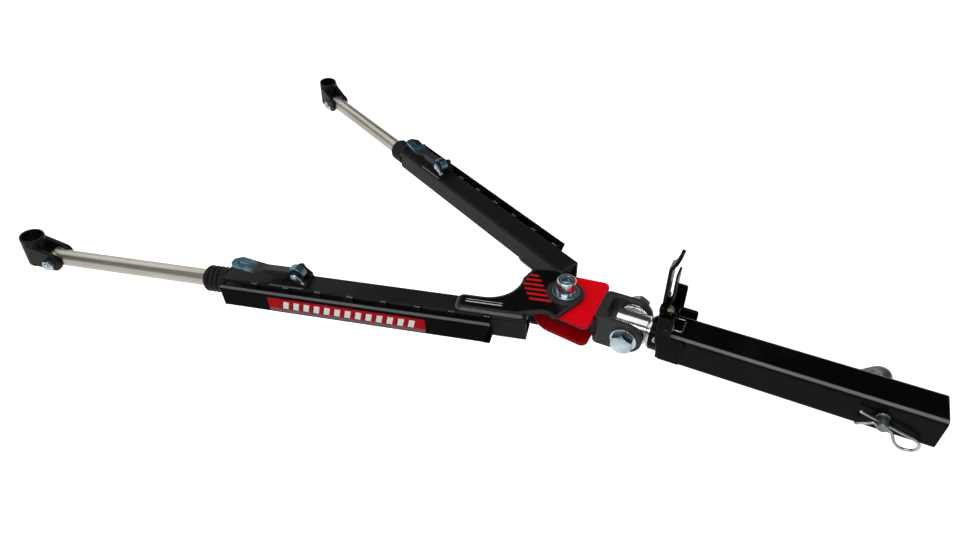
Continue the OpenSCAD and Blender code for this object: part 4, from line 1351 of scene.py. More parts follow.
@dataclass
class StowLatch:
    """Cheeks on the shank with the lever, pawl, pin, bolt and double torsion spring."""

    frame: Frame
    front: float = -287.2
    thickness: float = 4.6
    pin_x: float = -273.6
    pin_z: float = 34.4
    pin_r: float = 4.0
    pin_ease: float = 0.4
    cheek_t: float = 5.0
    bolt_y: float = -6.0
    bolt_z: float = 53.4
    bolt_head: tuple[Span, ...] = ((0, 7.0), (1.2, 6.9), (2.2, 6.0), (2.8, 4.4), (3.0, 2.0))
    bolt_end: tuple[Span, ...] = ((-8, 3.9), (8.3, 3.9), (9.0, 3.2))
    nut_back: float = 3.0
    nut_flats: float = 13.0
    nut_h: float = 6.5
    wire: float = 2.6
    wire_gap: float = 0.6
    coil: float = 7.4
    coil_y: float = 12.5
    turns: float = 3.0
    loop: float = 19.0
    leg: float = 15.0
    leg_lean: float = 22.5

    def make(self) -> None:
        """Builds the spring, pin and bolt, and rounds the plates and the lever."""
        edges = {"near_cheek": 1.0, "far_cheek": 1.0, "stow_pawl": 0.5, "stow_lever": 0.9}
        for node, edge in edges.items():
            self.frame.soften(node, Paint.GLOSS, "black_coat", edge)
        spring = build("stow_spring_wire", [self.spring()])
        dress(spring, Paint.SPRING, "shank", "spring_wire", ("stow_spring",))
        half, ease = SHANK_HALF + self.cheek_t, self.pin_ease
        tip, radius = self.pin_r - ease, self.pin_r
        ends = [[-half, tip], [ease - half, radius], [half - ease, radius], [half, tip]]
        matrix = turned(ACROSS, (self.pin_x, 0, self.pin_z))
        pin = build("stow_pin_peened", [Shell(moved(lathe(ends, 32), matrix))])
        dress(pin, Paint.GLOSS, "shank", "black_coat", ("stow_pin",))
        bolt = build("stow_bolt_hex", self.bolt())
        dress(bolt, Paint.YELLOW, "stow_latch", "yellow_zinc", ("stow_bolt",))

    def spring(self) -> Shell:
        """Double torsion spring: two coils about the pin, joined by a loop on the shank, with a leg each.

        A coil point at angle a is pin + coil (sin a, 0, -cos a), and its place across grows with a.
        Each point is then averaged with its neighbours.

        Returns:
            The spring's shell.
        """
        lean = math.radians(self.leg_lean)
        angle = np.linspace(0.0, -(2 * np.pi * self.turns + np.pi / 2 + lean), 150)
        x = self.pin_x + self.coil * np.sin(angle)
        y = self.coil_y + (self.wire + self.wire_gap) * np.abs(angle) / (2 * np.pi)
        z = self.pin_z - self.coil * np.cos(angle)
        coil = np.stack([x, y, z], -1)
        run = np.linspace(1.0, 0.06, 10)[:, None] * np.array([self.loop, 0.0, 0.0]) + coil[0]
        leg = self.leg * np.array([math.sin(lean), 0.0, math.cos(lean)])
        half = np.concatenate([run, coil, np.linspace(0.1, 1.0, 8)[:, None] * leg + coil[-1]])
        cross = np.linspace(-1.0, 1.0, 13)[1:-1, None] * np.array([0.0, self.coil_y, 0.0])
        cross = cross + half[0] * np.array([1.0, 0.0, 1.0])
        other = half[::-1] * np.array([1.0, -1.0, 1.0])
        path = np.concatenate([other, cross, half])
        kernel = np.array([0.25, 0.5, 0.25])
        inside = np.stack([np.convolve(column, kernel, "valid") for column in path.T], -1)
        path = np.concatenate([path[:1], inside, path[-1:]])
        return Shell(sweep(path, circle(self.wire / 2, 12), (0.15, 0.93, 0.33)))

    def bolt(self) -> list[Shell]:
        """Round head in front of the lever, and a hexagon nut with the bolt's end behind it.

        Returns:
            The bolt's shells.
        """
        front = turned((-1, 0, 0), (self.front, self.bolt_y, self.bolt_z))
        back = turned(ALONG, (self.front + self.thickness + self.nut_back, self.bolt_y, self.bolt_z))
        head = moved(lathe(self.bolt_head, 40), front)
        end = moved(lathe(self.bolt_end, 32), back)
        nut = moved(hex_body(self.nut_flats, self.nut_h, both=True), back)
        return [Shell(head), Shell(end), Shell(nut)]


@dataclass
class Swivel:
    """Eye bar that turns in the shank, with the washer and nut behind it."""

    frame: Frame

    def make(self) -> None:
        """Rounds the eye bar's edges; the washer and nut lie inside the shank."""
        self.frame.soften("swivel", Paint.BARE, "bare_steel", 0.7, 2)
        self.frame.paint(Paint.ZINC, "swivel_washer", "swivel_nut")


@dataclass
class ClevisYoke:
    """Yoke, red plates and the two large bolts."""

    frame: Frame
    half_width: float = 32.0
    bolt_r: float = 9.5
    flats: float = 28.6
    head: float = 12.0
    nut: float = 16.0
    bolt_past: float = 6.0
    bolt_thread: float = 22.0
    washer: float = 3.0
    washer_r: float = 19.0
    washer_edge: float = 0.5
    bore_gap: float = 0.1
    thrust_r: float = 21.0
    thrust_in: float = 19.6
    thrust_t: float = 3.4
    stack_top: float = 27.21
    plate_top: float = 24.21
    clear: float = 0.05
    pivot_washer_r: float = 20.0
    pivot_nut: float = 17.0
    pivot_past: float = 20.0
    pivot_thread: float = 8.0
    socket_r: float = 14.2
    socket_h: float = 21.5
    socket_flats: float = 15.8
    socket_hole_r: float = 9.0

    def make(self) -> None:
        """Builds the bolts, nuts and washers, and rounds the yoke and plates."""
        self.frame.soften("yoke", Paint.CAST, "black_forging", 2.4, 4)
        # The lower plate takes the darker red, a painted shade for the upper plate's shadow.
        for node, finish in (("upper_red_plate", Paint.RED), ("lower_red_plate", Paint.SHADED_RED)):
            self.frame.soften(node, finish, "red_coat", 0.9)
        self.frame.paint(Paint.PLASTIC, "pivot_discs")
        self.washers()
        self.clevis_bolt()
        self.pivot_bolt()

    def zinc(self, name: str, grids: list[Array], node: str, sharp: float = 40.0) -> None:
        """Plated piece of the yoke from closed grids."""
        dress(build(name, [Shell(g) for g in grids], sharp), Paint.ZINC, "yoke", "zinc", (node,))

    def rings(self, matrix: Matrix, span: Span, radius: float) -> list[Shell]:
        """Two washers along a bolt, one the other's mirror image.

        Args:
            matrix: Stands local Z along the bolt.
            span: The faces of one of them, as heights.
            radius: Outside radius.

        Returns:
            The washers' shells.
        """
        shells = []
        for low, high in (span, (-span[1], -span[0])):
            profile = rounded_ring(self.bolt_r + self.bore_gap, radius, low, high, self.washer_edge)
            shells.append(Shell(moved(lathe(profile, 72), matrix), close_rows=True))
        return shells

    def washers(self) -> None:
        """Thrust washers beside the eye, and flat washers under both bolts."""
        clevis = turned((0, -1, 0), (CLEVIS_X, 0, 0))
        thrust = self.rings(clevis, (self.thrust_in, self.thrust_in + self.thrust_t), self.thrust_r)
        flat = self.rings(clevis, (self.half_width, self.half_width + self.washer), self.washer_r)
        pivot = turned(UP, (PIVOT_X, 0, 0))
        stack = self.rings(pivot, (self.plate_top + self.clear, self.stack_top), self.pivot_washer_r)
        turned_pair = build("thrust_washers_turned", thrust)
        dress(turned_pair, Paint.BARE, "yoke", "bare_steel", ("thrust_washers",))
        for bolt, shells in (("clevis", flat), ("pivot", stack)):
            pair = build(f"{bolt}_washers_plated", shells)
            dress(pair, Paint.ZINC, "yoke", "zinc", (f"{bolt}_washers",))

    def clevis_bolt(self) -> None:
        """Hexagon bolt across the yoke with its nut on the far side."""
        top = self.half_width + self.washer
        end = -2 * top - self.nut - self.bolt_past
        matrix = turned((0, -1, 0), (CLEVIS_X, -top, 0))
        bolt = hex_bolt(self.flats, self.head, self.bolt_r, end, self.bolt_thread)
        self.zinc("clevis_bolt_hex", [moved(grid, matrix) for grid in bolt], "clevis_bolt")
        matrix = turned(ACROSS, (CLEVIS_X, top, 0))
        nut = moved(hex_body(self.flats, self.nut, both=True), matrix)
        self.zinc("clevis_nut_hex", [nut], "clevis_nut")

    def pivot_bolt(self) -> None:
        """Socket head bolt down through both arms, with its nut below."""
        head = moved(self.socket_head(), turned(UP, (PIVOT_X, 0, self.stack_top)))
        self.zinc("pivot_bolt_socket", [head, *self.pivot_shank()], "pivot_bolt", 32.0)
        matrix = turned((0, 0, -1), (PIVOT_X, 0, -self.stack_top))
        nut = moved(hex_body(self.flats, self.pivot_nut, both=True), matrix)
        self.zinc("pivot_nut_hex", [nut], "pivot_nut")

    def socket_head(self) -> Array:
        """Socket head: a round wall with a rolled rim that turns into a hexagon hole.

        Outside rows have a constant radius; inside rows take a share of the hexagon's radius at each angle.

        Returns:
            The grid of points.
        """
        r, h = self.socket_r, self.socket_h
        outside = np.array([
            [0, r - 0.7], [0.7, r], [3.4, r], [3.9, r - 0.35], [4.4, r], [h - 2.6, r],
            [h - 1.5, r - 0.3], [h - 0.6, r - 1.0], [h - 0.1, r - 2.0], [h, r - 3.0],
        ])
        inside = np.array([
            [h - 0.1, 1.06], [h - 0.8, 1.0], [h - 6.0, 1.0], [h - 10.8, 1.0], [h - 11.0, 0.9],
            [h - 12.5, 0.1],
        ])
        angle = around(96)
        hole = np.minimum(hexagon(self.socket_flats, angle), self.socket_hole_r)
        wall = np.broadcast_to(outside[:, 1:], (len(outside), len(angle)))
        heights = np.concatenate([outside[:, 0], inside[:, 0]])
        return round_grid(np.concatenate([wall, inside[:, 1:] * hole]), heights, angle)

    def pivot_shank(self) -> list[Array]:
        """Plain shank through the stack and the threaded end below the nut.

        Returns:
            The two grids.
        """
        low = -self.stack_top - self.pivot_past
        radius = self.bolt_r - self.bore_gap
        plain = lathe([[low + 6, radius], [self.stack_top + 0.5, radius]], 40)
        spiral = thread(self.bolt_r, 0.0, self.pivot_thread, THREAD_PITCH) * DOWNWARDS
        spiral = spiral + np.array([0, 0, low + self.pivot_thread])
        centre = np.array([PIVOT_X, 0, 0])
        return [plain + centre, spiral + centre]


class Side(Enum):
    """The two arms as the camera sees them."""

    NEAR = "near"
    FAR = "far"


@dataclass
class Arm:
    """One telescoping arm: tube, channel, plate, boot, latch, rod and end eye."""

    frame: Frame
    side: Side
    yaw: float
    lift: float
    hand: int
    channel_round: float = 4.5
    bend_u: Span = (105.0, 510.0)
    bend_near: float = 0.2
    latch_u: float = 403.0
    latch_z: float = 34.85
    pin_profile: tuple[Span, ...] = (
        (-20.4, 2.0), (-20.2, 4.2), (-19.4, 5.6), (-18.6, 6.0), (-16.7, 6.0), (-16.6, 4.0), (13.1, 4.0),
        (13.7, 3.3),
    )
    plunger_lead: float = 22.0
    plunger_r: float = 4.5
    plunger_gap: float = 0.3
    plunger_top: float = 7.2
    plunger_point: float = 0.9
    plunger_ease: float = 0.5
    stem_r: float = 2.2
    stem_top: float = 1.5
    button_r: float = 4.0
    button_h: float = 1.6
    rod_r: float = 13.35
    boot_start: float = 526.0
    boot_len: float = 39.0
    boot_r: float = 21.0
    boot_bore: float = 13.45
    rib_pitch: float = 8.0
    rib_depth: float = 3.4
    sleeve: float = 11.0
    lip_len: float = 3.0
    lip: tuple[Span, ...] = ((2.6, 17.4), (1.6, 16.9), (0.7, 16.2), (0.1, 15.2), (0.0, 14.2), (0.2, 13.45))
    eye_u: float = 847.0
    eye_half: float = 18.5
    eye_flats: float = 17.0
    eye_head: float = 5.5
    eye_nut: float = 9.0
    eye_bolt_r: float = 5.45
    eye_bolt_past: float = 3.0
    eye_bolt_thread: float = 16.0
    way: int = field(init=False)

    def __post_init__(self) -> None:
        """Sets which way the arm lies across."""
        self.way = 1 if self.side is Side.NEAR else -1

    def name(self, part: str) -> str:
        """Name of a node or piece of this arm."""
        return f"{self.side.value}_{part}"

    def axes(self) -> tuple[Array, Array]:
        """Directions along the arm and outwards from it."""
        c, s = math.cos(math.radians(self.yaw)), math.sin(math.radians(self.yaw))
        return np.array([-c, -self.way * s, 0.0]), np.array([s, -self.way * c, 0.0])

    def put(self, points: Array) -> Array:
        """Arm points, along, outwards and up, in the part's frame: pivot + u along + w out + z up.

        Args:
            points: Grid of arm points.

        Returns:
            The grid in the part's frame.
        """
        along, out = self.axes()
        base = np.array([PIVOT_X, 0.0, self.lift])
        return base + points[..., :1] * along + points[..., 1:2] * out + points[..., 2:] * np.array(UP)

    def handed(self, points: Array) -> Array:
        """Points whose second number runs towards the keeper from the rod's axis, as arm points."""
        return points * np.array([1.0, self.hand, 1.0]) + np.array([0.0, ROD_W, 0.0])

    def piece(
        self, part: str, shells: list[Shell], finish: Finish, body: str, slot: str, *nodes: str,
        sharp: float = 40.0,
    ) -> None:
        """Builds shells given in arm points and dresses them.

        Args:
            part: The piece's name without its side.
            shells: Shells in arm points.
            finish: The finish.
            body: Body without its side.
            slot: The record's slot.
            nodes: Nodes that it replaces, without their side.
            sharp: Angle past which an edge stays sharp.
        """
        placed = [replace(shell, points=self.put(shell.points)) for shell in shells]
        obj = build(self.name(part), placed, sharp)
        dress(obj, finish, self.name(body), slot, tuple(self.name(n) for n in nodes))

    def make(self) -> None:
        """Builds the arm's pieces in order from the pivot to the end eye."""
        turn = -self.way * self.yaw
        for node, edge, finish in (
            ("tube", 0.6, Paint.BLACK), ("plate", 0.7, Paint.PLATE), ("latch_base", 0.45, Paint.BLACK)
        ):
            self.frame.soften(self.name(node), finish, "black_coat", edge, 2)
        self.channel(turn)
        lever = LeverPlating(self.name("blued_lever"), turn=turn)
        self.frame.soften(self.name("lever"), lever, "zinc", 0.7)
        self.frame.soften(self.name("keeper"), Paint.ZINC, "zinc", 0.35, 2)
        self.frame.soften(self.name("eye"), Paint.EYE, "black_coat", 1.5, 3)
        self.frame.paint(Paint.PLASTIC, self.name("guide"))
        self.frame.paint(Paint.BARE, self.name("stop"))
        self.boot()
        rod = BrushedRod(self.name("brushed_rod"), turn=turn)
        self.frame.soften(self.name("rod"), rod, "stainless", 0.4, 2, 40.0)
        self.latch_pins()
        self.eye_bolt()
        ArmWelds(self).make()

    def channel(self, turn: float) -> None:
        """Channel with two wide bends along its outer side.

        Args:
            turn: Angle that lays the arm along X, in degrees.
        """
        # The sheet paints a pale highlight along the channel's two long bends.
        sheet = BendHighlightCoat(
            self.name("satin_black_sheet"), colour=(0.0025, 0.0025, 0.0026), worn=(0.11, 0.112, 0.118),
            roughness=0.34, gloss=0.02, coat=0.0, turn=turn, radius=self.channel_round * MM,
            shift=self.way * math.sin(math.radians(self.yaw)) * PIVOT_X * MM,
            half_across=CHANNEL_W * MM, half_height=TUBE_HALF * MM,
        )
        bends = {"wide": self.channel_round, "pick": self.on_outer_edge}
        self.frame.soften(self.name("channel"), sheet, "black_coat", 0.5, 5, **bends)

    def on_outer_edge(self, middle: Array) -> bool:
        """Whether an edge lies on one of the channel's two long bends.

        Args:
            middle: The edge's middle in the part's frame.

        Returns:
            The answer.
        """
        along, out = self.axes()
        offset = middle - np.array([PIVOT_X, 0.0, self.lift])
        outside = offset @ out > CHANNEL_W - self.bend_near
        level = abs(offset[2]) > TUBE_HALF - self.bend_near
        return bool(outside and level and self.bend_u[0] < offset @ along < self.bend_u[1])

    def boot(self) -> None:
        """Boot: a plain sleeve, then rounded ribs whose radius follows the root of a sine, and a lip."""
        ribbed = self.boot_len - self.lip_len
        x = np.linspace(0.0, ribbed, 150)
        rib = np.abs(np.sin(np.pi * (ribbed - x) / self.rib_pitch)) ** 0.5
        sleeve = 1.0 - smoothstep(x, self.sleeve - 0.6, self.sleeve)
        outer = self.boot_r - self.rib_depth * (1.0 - np.maximum(rib, 0.72 * sleeve))
        start = np.array([[0.0, self.boot_bore], [0.0, outer[0] - 0.6], [0.25, outer[0]]])
        before_end, lip_r = np.array(self.lip).T
        lip = np.stack([self.boot_len - before_end, lip_r], -1)
        ring = lathe(np.concatenate([start, np.stack([x[1:], outer[1:]], -1), lip]), 64)
        grid = np.stack([ring[..., 2] + self.boot_start, ring[..., 0] + ROD_W, ring[..., 1]], -1)
        shells = [Shell(grid, close_rows=True)]
        self.piece("boot_ribbed", shells, Paint.RUBBER, "arm", "rubber", "boot", sharp=50.0)

    def latch_pins(self) -> None:
        """Lever pin with a domed head, and the lock plunger below the lever."""
        ring = lathe(self.pin_profile, 36)
        pin = np.stack([ring[..., 0] + self.latch_u, ring[..., 2], ring[..., 1] + self.latch_z], -1)
        self.piece("latch_pin_domed", [Shell(self.handed(pin))], Paint.ZINC, "arm", "zinc", "latch_pin")
        low = self.rod_r + self.plunger_gap
        high = self.latch_z - self.plunger_top
        head = self.latch_z - self.stem_top
        radius, point, ease = self.plunger_r, self.plunger_point, self.plunger_ease
        profile = [
            [low, radius - point], [low + point, radius], [high - ease, radius], [high, radius - ease],
            [high + 0.1, self.stem_r], [head, self.stem_r], [head, self.button_r],
            [head + self.button_h, self.button_r],
        ]
        stem = lathe(profile, 32) + np.array([self.latch_u + self.plunger_lead, ROD_W, 0.0])
        self.piece("plunger_pin", [Shell(stem)], Paint.GREY, "lock_plunger", "zinc", "plunger")

    def eye_bolt(self) -> None:
        """Bolt across the end eye, with its nut on the keeper's side."""
        turn = np.array([[1.0, 0.0, 0.0], [0.0, 0.0, -1.0], [0.0, 1.0, 0.0]])
        end = -2 * self.eye_half - self.eye_nut - self.eye_bolt_past
        head = np.array([self.eye_u, -self.eye_half, 0.0])
        bolt = hex_bolt(self.eye_flats, self.eye_head, self.eye_bolt_r, end, self.eye_bolt_thread)
        shells = [Shell(self.handed(grid @ turn.T + head)) for grid in bolt]
        self.piece("eye_bolt_hex", shells, Paint.ZINC, "end_eye", "zinc", "eye_bolt")
        nut = hex_body(self.eye_flats, self.eye_nut, both=True) @ turn.T * np.array([1.0, -1.0, 1.0])
        nut = self.handed(nut + np.array([self.eye_u, self.eye_half, 0.0]))
        self.piece("eye_nut_hex", [Shell(nut)], Paint.ZINC, "end_eye", "zinc", "eye_nut")


@dataclass(frozen=True)
class Seam:
    """Straight weld: its ends along and out on the arm, its rise over the tube's face, and its width."""

    ends: tuple[Span, Span]
    rise: float
    width: float

    def bead(self, side: int = 1) -> Shell:
        """The bead on the tube's upper face, or on the lower one for a side of -1."""
        return bead(np.array([(*end, side * (TUBE_HALF + self.rise)) for end in self.ends]), self.width, UP)


@dataclass
class ArmWelds:
    """Painted weld beads along an arm's plate, latch base and channel tabs."""

    arm: Arm
    outer_seam: Seam = Seam(((52.0, 61.8), (147.0, 61.8)), 1.6, 7.4)
    inner_seam: Seam = Seam(((84.0, 29.6), (142.0, 29.6)), -1.2, 4.2)
    start_seam: Seam = Seam(((46.9, 34.0), (46.9, 62.0)), -0.6, 3.4)
    nose_u: float = 144.0
    nose_w: Span = (40.5, 53.3)
    nose_r: float = 8.4
    nose_rise: float = 0.9
    nose_width: float = 3.6
    base_u: Span = (388.0, 446.0)
    base_half: float = 16.6
    base_rise: float = 0.8
    base_width: float = 3.0
    tab_first: float = 129.8
    tab_pitch: float = 52.3
    tabs: int = 9
    tab_half: float = 6.0
    tab_u: Span = (98.0, 517.0)
    tab_w: float = 68.2
    tab_rise: float = -0.7
    tab_width: float = 3.2

    def make(self) -> None:
        """Builds all beads as one piece."""
        beads = self.plate() + self.latch_base() + self.channel()
        self.arm.piece("arm_weld_beads", beads, Paint.WELD, "arm", "black_coat")

    def plate(self) -> list[Shell]:
        """Beads round the plate: three straight ones, and two quarter circles round its nose.

        Returns:
            The beads.
        """
        side = self.arm.way
        turn = np.linspace(-np.pi / 2, np.pi / 2, 20)
        u = self.nose_u + self.nose_r * np.cos(turn)
        w = np.where(turn < 0, *self.nose_w) + self.nose_r * np.sin(turn)
        nose = np.stack([u, w, np.full_like(turn, side * (TUBE_HALF + self.nose_rise))], -1)
        inner = [seam.bead(side) for seam in (self.inner_seam, self.start_seam)]
        return [self.outer_seam.bead(side), bead(nose, self.nose_width, UP), *inner]

    def latch_base(self) -> list[Shell]:
        """Beads along both sides of the latch's base.

        Returns:
            The beads.
        """
        first, last = self.base_u
        sides = (ROD_W - self.base_half, ROD_W + self.base_half)
        return [Seam(((first, w), (last, w)), self.base_rise, self.base_width).bead() for w in sides]

    def channel(self) -> list[Shell]:
        """Short beads on the channel's tabs, which lie halfway between its slots.

        Returns:
            The beads.
        """
        beads = []
        for k in range(self.tabs):
            u = self.tab_first + self.tab_pitch * (k - 0.5)
            first, last = max(u - self.tab_half, self.tab_u[0]), min(u + self.tab_half, self.tab_u[1])
            ends = ((first, self.tab_w), (last, self.tab_w))
            beads.append(Seam(ends, self.tab_rise, self.tab_width).bead())
        return beads


@dataclass
class Prints:
    """Thin printed sheets on the near arm: the channel's label and the plate's film.

    Each arc of the film's border has a centre, a radius, and its first and last angle.
    """

    arm: Arm
    label_u: Span = (192.0, 441.0)
    label_z: Span = (-14.2, 11.4)
    label_grid: tuple[int, int] = (40, 8)
    plate_top: float = 23.81
    thickness: float = 0.25
    bare_r: float = 29.0
    neck: Span = (98.0, 46.0)
    neck_from: Span = (75.0, 118.0)
    arcs: tuple[tuple[Span, float, float, float], ...] = (
        ((22.0, -38.0), 8.0, -130.0, -84.0), ((47.0, -35.5), 8.0, -84.0, -34.0),
        ((118.0, -18.3), 54.8, 171.0, 90.0), ((144.0, 40.5), 4.0, -90.0, 0.0),
        ((144.0, 52.0), 4.0, 0.0, 90.0),
    )
    ear: tuple[Span, ...] = (
        (64.0, 55.5), (54.0, 50.5), (44.0, 47.0), (28.0, 43.0), (16.0, 45.2), (10.5, 50.6), (7.0, 49.8)
    )
    stations: tuple[int, ...] = (0, 47, 48, 71, 119, 120, -1)
    station_angles: tuple[float, ...] = (-92.0, -52.0, -38.0, 8.0, 24.0, 46.0, 107.0)

    def make(self) -> None:
        """Builds both sheets with a print map."""
        u, z = (np.linspace(*span, n) for span, n in zip((self.label_u, self.label_z), self.label_grid))
        grid_u, grid_z = np.meshgrid(u, z, indexing="ij")
        face = np.stack([grid_u, np.full_like(grid_u, CHANNEL_W), grid_z], -1)
        share = np.stack(np.meshgrid(*(np.linspace(0, 1, n) for n in self.label_grid), indexing="ij"), -1)
        self.sheet("channel_label_print", face, self.thickness * np.array(ACROSS), Paint.LABEL, share)
        film = self.film()
        place = film[..., :2] * 0.01
        self.sheet("plate_film_print", film, self.thickness * np.array(UP), Paint.DECAL, place)

    def border(self) -> Array:
        """The film's outer border, from the lobe past the scallop and the nose to the ear.

        An arc's point at angle a is centre + radius (cos a, sin a), and lines join the arcs.

        Returns:
            The border's points, along and outwards.
        """
        parts = []
        for centre, radius, start, stop in self.arcs:
            angle = np.radians(np.linspace(start, stop, 24))[:, None]
            parts.append(np.array(centre) + radius * np.concatenate([np.cos(angle), np.sin(angle)], 1))
        return np.concatenate([*parts, np.array(self.ear)])

    def film(self) -> Array:
        """Film on the plate: curves from the bare disc round the pivot to the border.

        A curve is (1-s)^2 a + 2s(1-s) c + s^2 b, where c is the middle of a and b, or the plate's neck
        for a far b.

        Returns:
            The grid of arm points.
        """
        border = self.border()
        length = lengths(border)
        place = np.linspace(0.0, length[-1], 160)
        b = along_path(border, place)
        angle = np.radians(np.interp(place, length[list(self.stations)], self.station_angles))
        a = self.bare_r * np.stack([np.cos(angle), np.sin(angle)], -1)
        far = smoothstep(b[:, :1], *self.neck_from)
        c = (1 - far) * (a + b) / 2 + far * np.array(self.neck)
        s = np.linspace(0.0, 1.0, 24)[None, :, None]
        flat = (1 - s) ** 2 * a[:, None] + 2 * s * (1 - s) * c[:, None] + s**2 * b[:, None]
        return np.concatenate([flat, np.full_like(flat[..., :1], self.plate_top)], -1)

    def sheet(self, name: str, face: Array, rise: Array, finish: Finish, place: Array) -> None:
        """One sheet of film: a grid, the same grid raised by its thickness, and walls between them.

        Args:
            name: The piece's name.
            face: Grid of arm points that it lies on.
            rise: Its thickness as a vector.
            finish: Its print.
            place: The print map at each grid point.
        """
        rows, columns = face.shape[:2]
        upper = self.arm.put(face + rise).reshape(-1, 3)
        lower = self.arm.put(face).reshape(-1, 3)
        count = rows * columns
        top = Shell(face, close_columns=False).faces(0)
        bottom = [[v + count for v in quad[::-1]] for quad in top]
        border = np.concatenate([
            np.arange(columns), columns - 1 + columns * np.arange(1, rows),
            (rows - 1) * columns + np.arange(columns - 2, -1, -1), columns * np.arange(rows - 2, 0, -1),
        ])
        ahead = np.roll(border, -1)
        walls = np.stack([border, border + count, ahead + count, ahead], -1).tolist()
        mesh = bpy.data.meshes.new(name)
        mesh.from_pydata((np.concatenate([upper, lower]) * MM).tolist(), [], top + bottom + walls)
        place = np.tile(place.reshape(-1, 2), (2, 1))
        corners = np.empty(len(mesh.loops), np.int32)
        mesh.loops.foreach_get("vertex_index", corners)
        mesh.uv_layers.new(name="print").data.foreach_set("uv", place[corners].ravel())
        turn_outwards(mesh)
        dress(link(name, mesh), finish, self.arm.name("arm"), None, ())


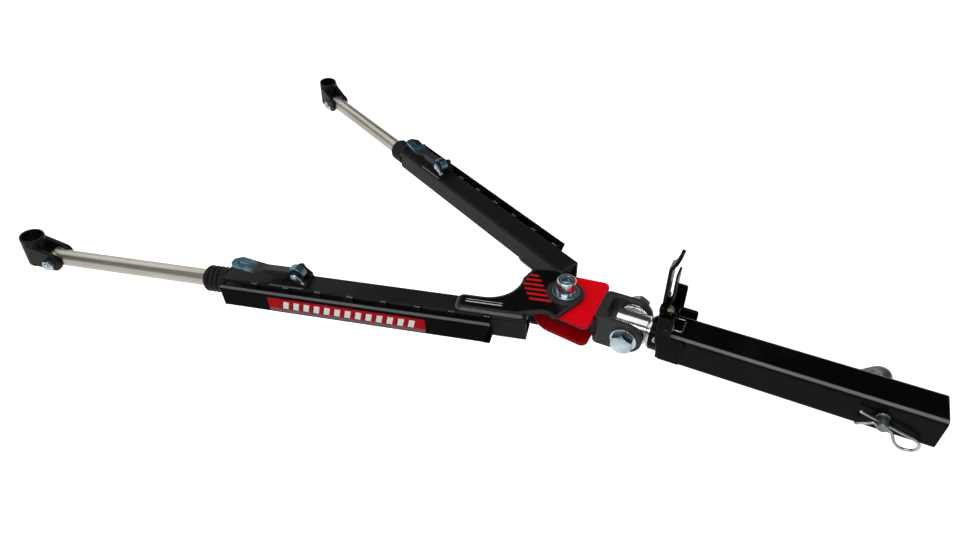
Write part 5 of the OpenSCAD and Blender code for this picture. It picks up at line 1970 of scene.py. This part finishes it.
@dataclass
class Studio:
    """Camera, lamps, world and floor: the camera's sizes are millimetres, and the rest are metres."""

    lens: float = 24.776
    sensor: float = 36.0
    eye: Point = (-191.32, -696.25, 670.54)
    right: Point = (0.88928, 0.45652, -0.02762)
    up: Point = (-0.2716, 0.5756, 0.7707)
    forward: Point = (-0.36801, 0.67841, -0.63586)
    fill: float = 0.25
    ceiling: float = 0.06
    horizon: Span = (0.02, 0.30)
    floor_half: float = 6.0
    floor_drop: float = 0.95
    floor_lift: float = 0.86
    far_lift: float = 1.0
    lift_reach: Span = (0.4, 1.6)
    mirrored_floor: float = 0.55
    middle: Span = (-0.6, 0.1)

    def make(self) -> None:
        """Sets the view, the camera, the lamps, the world and the floor."""
        scene = bpy.context.scene
        scene.view_settings.view_transform = "Standard"
        self.camera(scene)
        self.world(scene)
        self.floor()
        self.lamp("strip_lamp", (-0.45, -1.2, 1.15), (-0.5, -0.05, 0.0), (0.22, 1.6), 11.0)
        self.lamp("top_lamp", (-0.5, 0.0, 1.6), (-0.5, 0.05, 0.0), (1.2, 1.6), 9.6)
        self.lamp("left_lamp", (-2.1, 0.35, 1.1), (-0.8, 0.1, 0.0), (2.0, 1.0), 7.0)
        self.lamp("side_lamp", (1.3, -0.4, 0.9), (-0.2, 0.0, 0.0), (0.6, 0.6), 2.0)

    def camera(self, scene: bpy.types.Scene) -> None:
        """Camera at the photograph's place and angle.

        Args:
            scene: The scene that looks through it.
        """
        data = bpy.data.cameras.new("photo_camera")
        data.lens = self.lens
        data.sensor_width = self.sensor
        data.sensor_fit = "HORIZONTAL"
        data.clip_start = 0.01
        data.clip_end = 50.0
        matrix = np.eye(4)
        matrix[:3, 0] = self.right
        matrix[:3, 1] = self.up
        matrix[:3, 2] = -np.array(self.forward)
        matrix[:3, 3] = np.array(self.eye) * MM
        scene.camera = link("photo_camera", data)
        scene.camera.matrix_world = Matrix(matrix.tolist())

    def lamp(self, name: str, place: Point, aim: Point, size: Span, power: float) -> None:
        """Soft lamp with a rectangular front.

        Args:
            name: The lamp's name.
            place: Its place.
            aim: Point that it shines at.
            size: The two sides of its front.
            power: Watts.
        """
        data = bpy.data.lights.new(name, "AREA")
        data.shape = "RECTANGLE"
        data.size, data.size_y = size
        data.energy = power
        direction = np.array(place) - np.array(aim)
        link(name, data).matrix_world = turned(tuple(direction), place)

    def world(self, scene: bpy.types.Scene) -> None:
        """White to the camera, a plain level for the rest, and for gloss white low under a dark ceiling.

        Args:
            scene: The scene that it surrounds.
        """
        tree = Tree(bpy.data.worlds.new("studio_world"))
        (height,) = tree.numbers(tree.add("ShaderNodeTexCoord"), "Z")
        mirrored = 1.0 - (1.0 - self.ceiling) * height.smooth(*self.horizon)
        seen = tree.shown("Camera", "Transmission")
        gloss = tree.shown("Glossy")
        level = seen + (1.0 - seen) * (gloss * mirrored + (1.0 - gloss) * self.fill)
        back = tree.add("ShaderNodeBackground", None, {0: (1.0, 1.0, 1.0), 1: level})
        tree.add("ShaderNodeOutputWorld", None, {0: back})
        scene.world = tree.owner

    def floor(self) -> None:
        """Wide pale floor below the reach of hanging arms: white to the camera but for shadows."""
        side = np.array([-self.floor_half, self.floor_half])
        x, y = np.meshgrid(side, side, indexing="ij")
        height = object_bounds()[0].z - self.floor_drop
        points = np.stack([x, y, np.full_like(x, height)], -1).reshape(-1, 3)
        mesh = bpy.data.meshes.new("floor")
        mesh.from_pydata(points.tolist(), [], [[0, 2, 3, 1]])
        tree = Tree(bpy.data.materials.new("pale_floor"))
        grain = tree.noise(tree.place(), 3.0)
        x, y = tree.numbers(tree.place(), "XY")
        x, y = x - self.middle[0], y - self.middle[1]
        distance = (x * x + y * y).math("SQRT")
        lift = self.floor_lift + (self.far_lift - self.floor_lift) * distance.smooth(*self.lift_reach)
        seen = tree.shown("Camera", "Transmission")
        gloss = tree.shown("Glossy")
        material = tree.finish(
            Base_Color=tree.mix(grain, (0.90, 0.90, 0.90), (0.92, 0.92, 0.92)),
            Roughness=0.9,
            Specular_IOR_Level=0.0,
            Emission_Color=lift * (seen + (1.0 - seen) * gloss * self.mirrored_floor),
            Emission_Strength=1.0,
        )
        mesh.materials.append(material)
        link("floor", mesh)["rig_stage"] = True


def corners(bounds: tuple) -> list[list[float]]:
    """Lowest and highest corner as plain lists."""
    return [[float(v) for v in corner] for corner in bounds]


def main() -> None:
    """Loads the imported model, builds every sub-assembly and sets the stage."""
    logging.basicConfig(level=logging.INFO, format="%(message)s")
    frame = Frame(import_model())
    solid = corners(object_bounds())
    near = Arm(frame, Side.NEAR, yaw=14.05, lift=0.4, hand=1)
    far = Arm(frame, Side.FAR, yaw=26.6, lift=-0.4, hand=-1)
    for assembly in (
        Shank(frame), HitchPin(), StowLatch(frame), Swivel(frame), ClevisYoke(frame), near, far,
        Prints(near), Studio(),
    ):
        assembly.make()
    {"cad": solid, "visual": corners(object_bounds())}


if __name__ == "__main__":
    main()
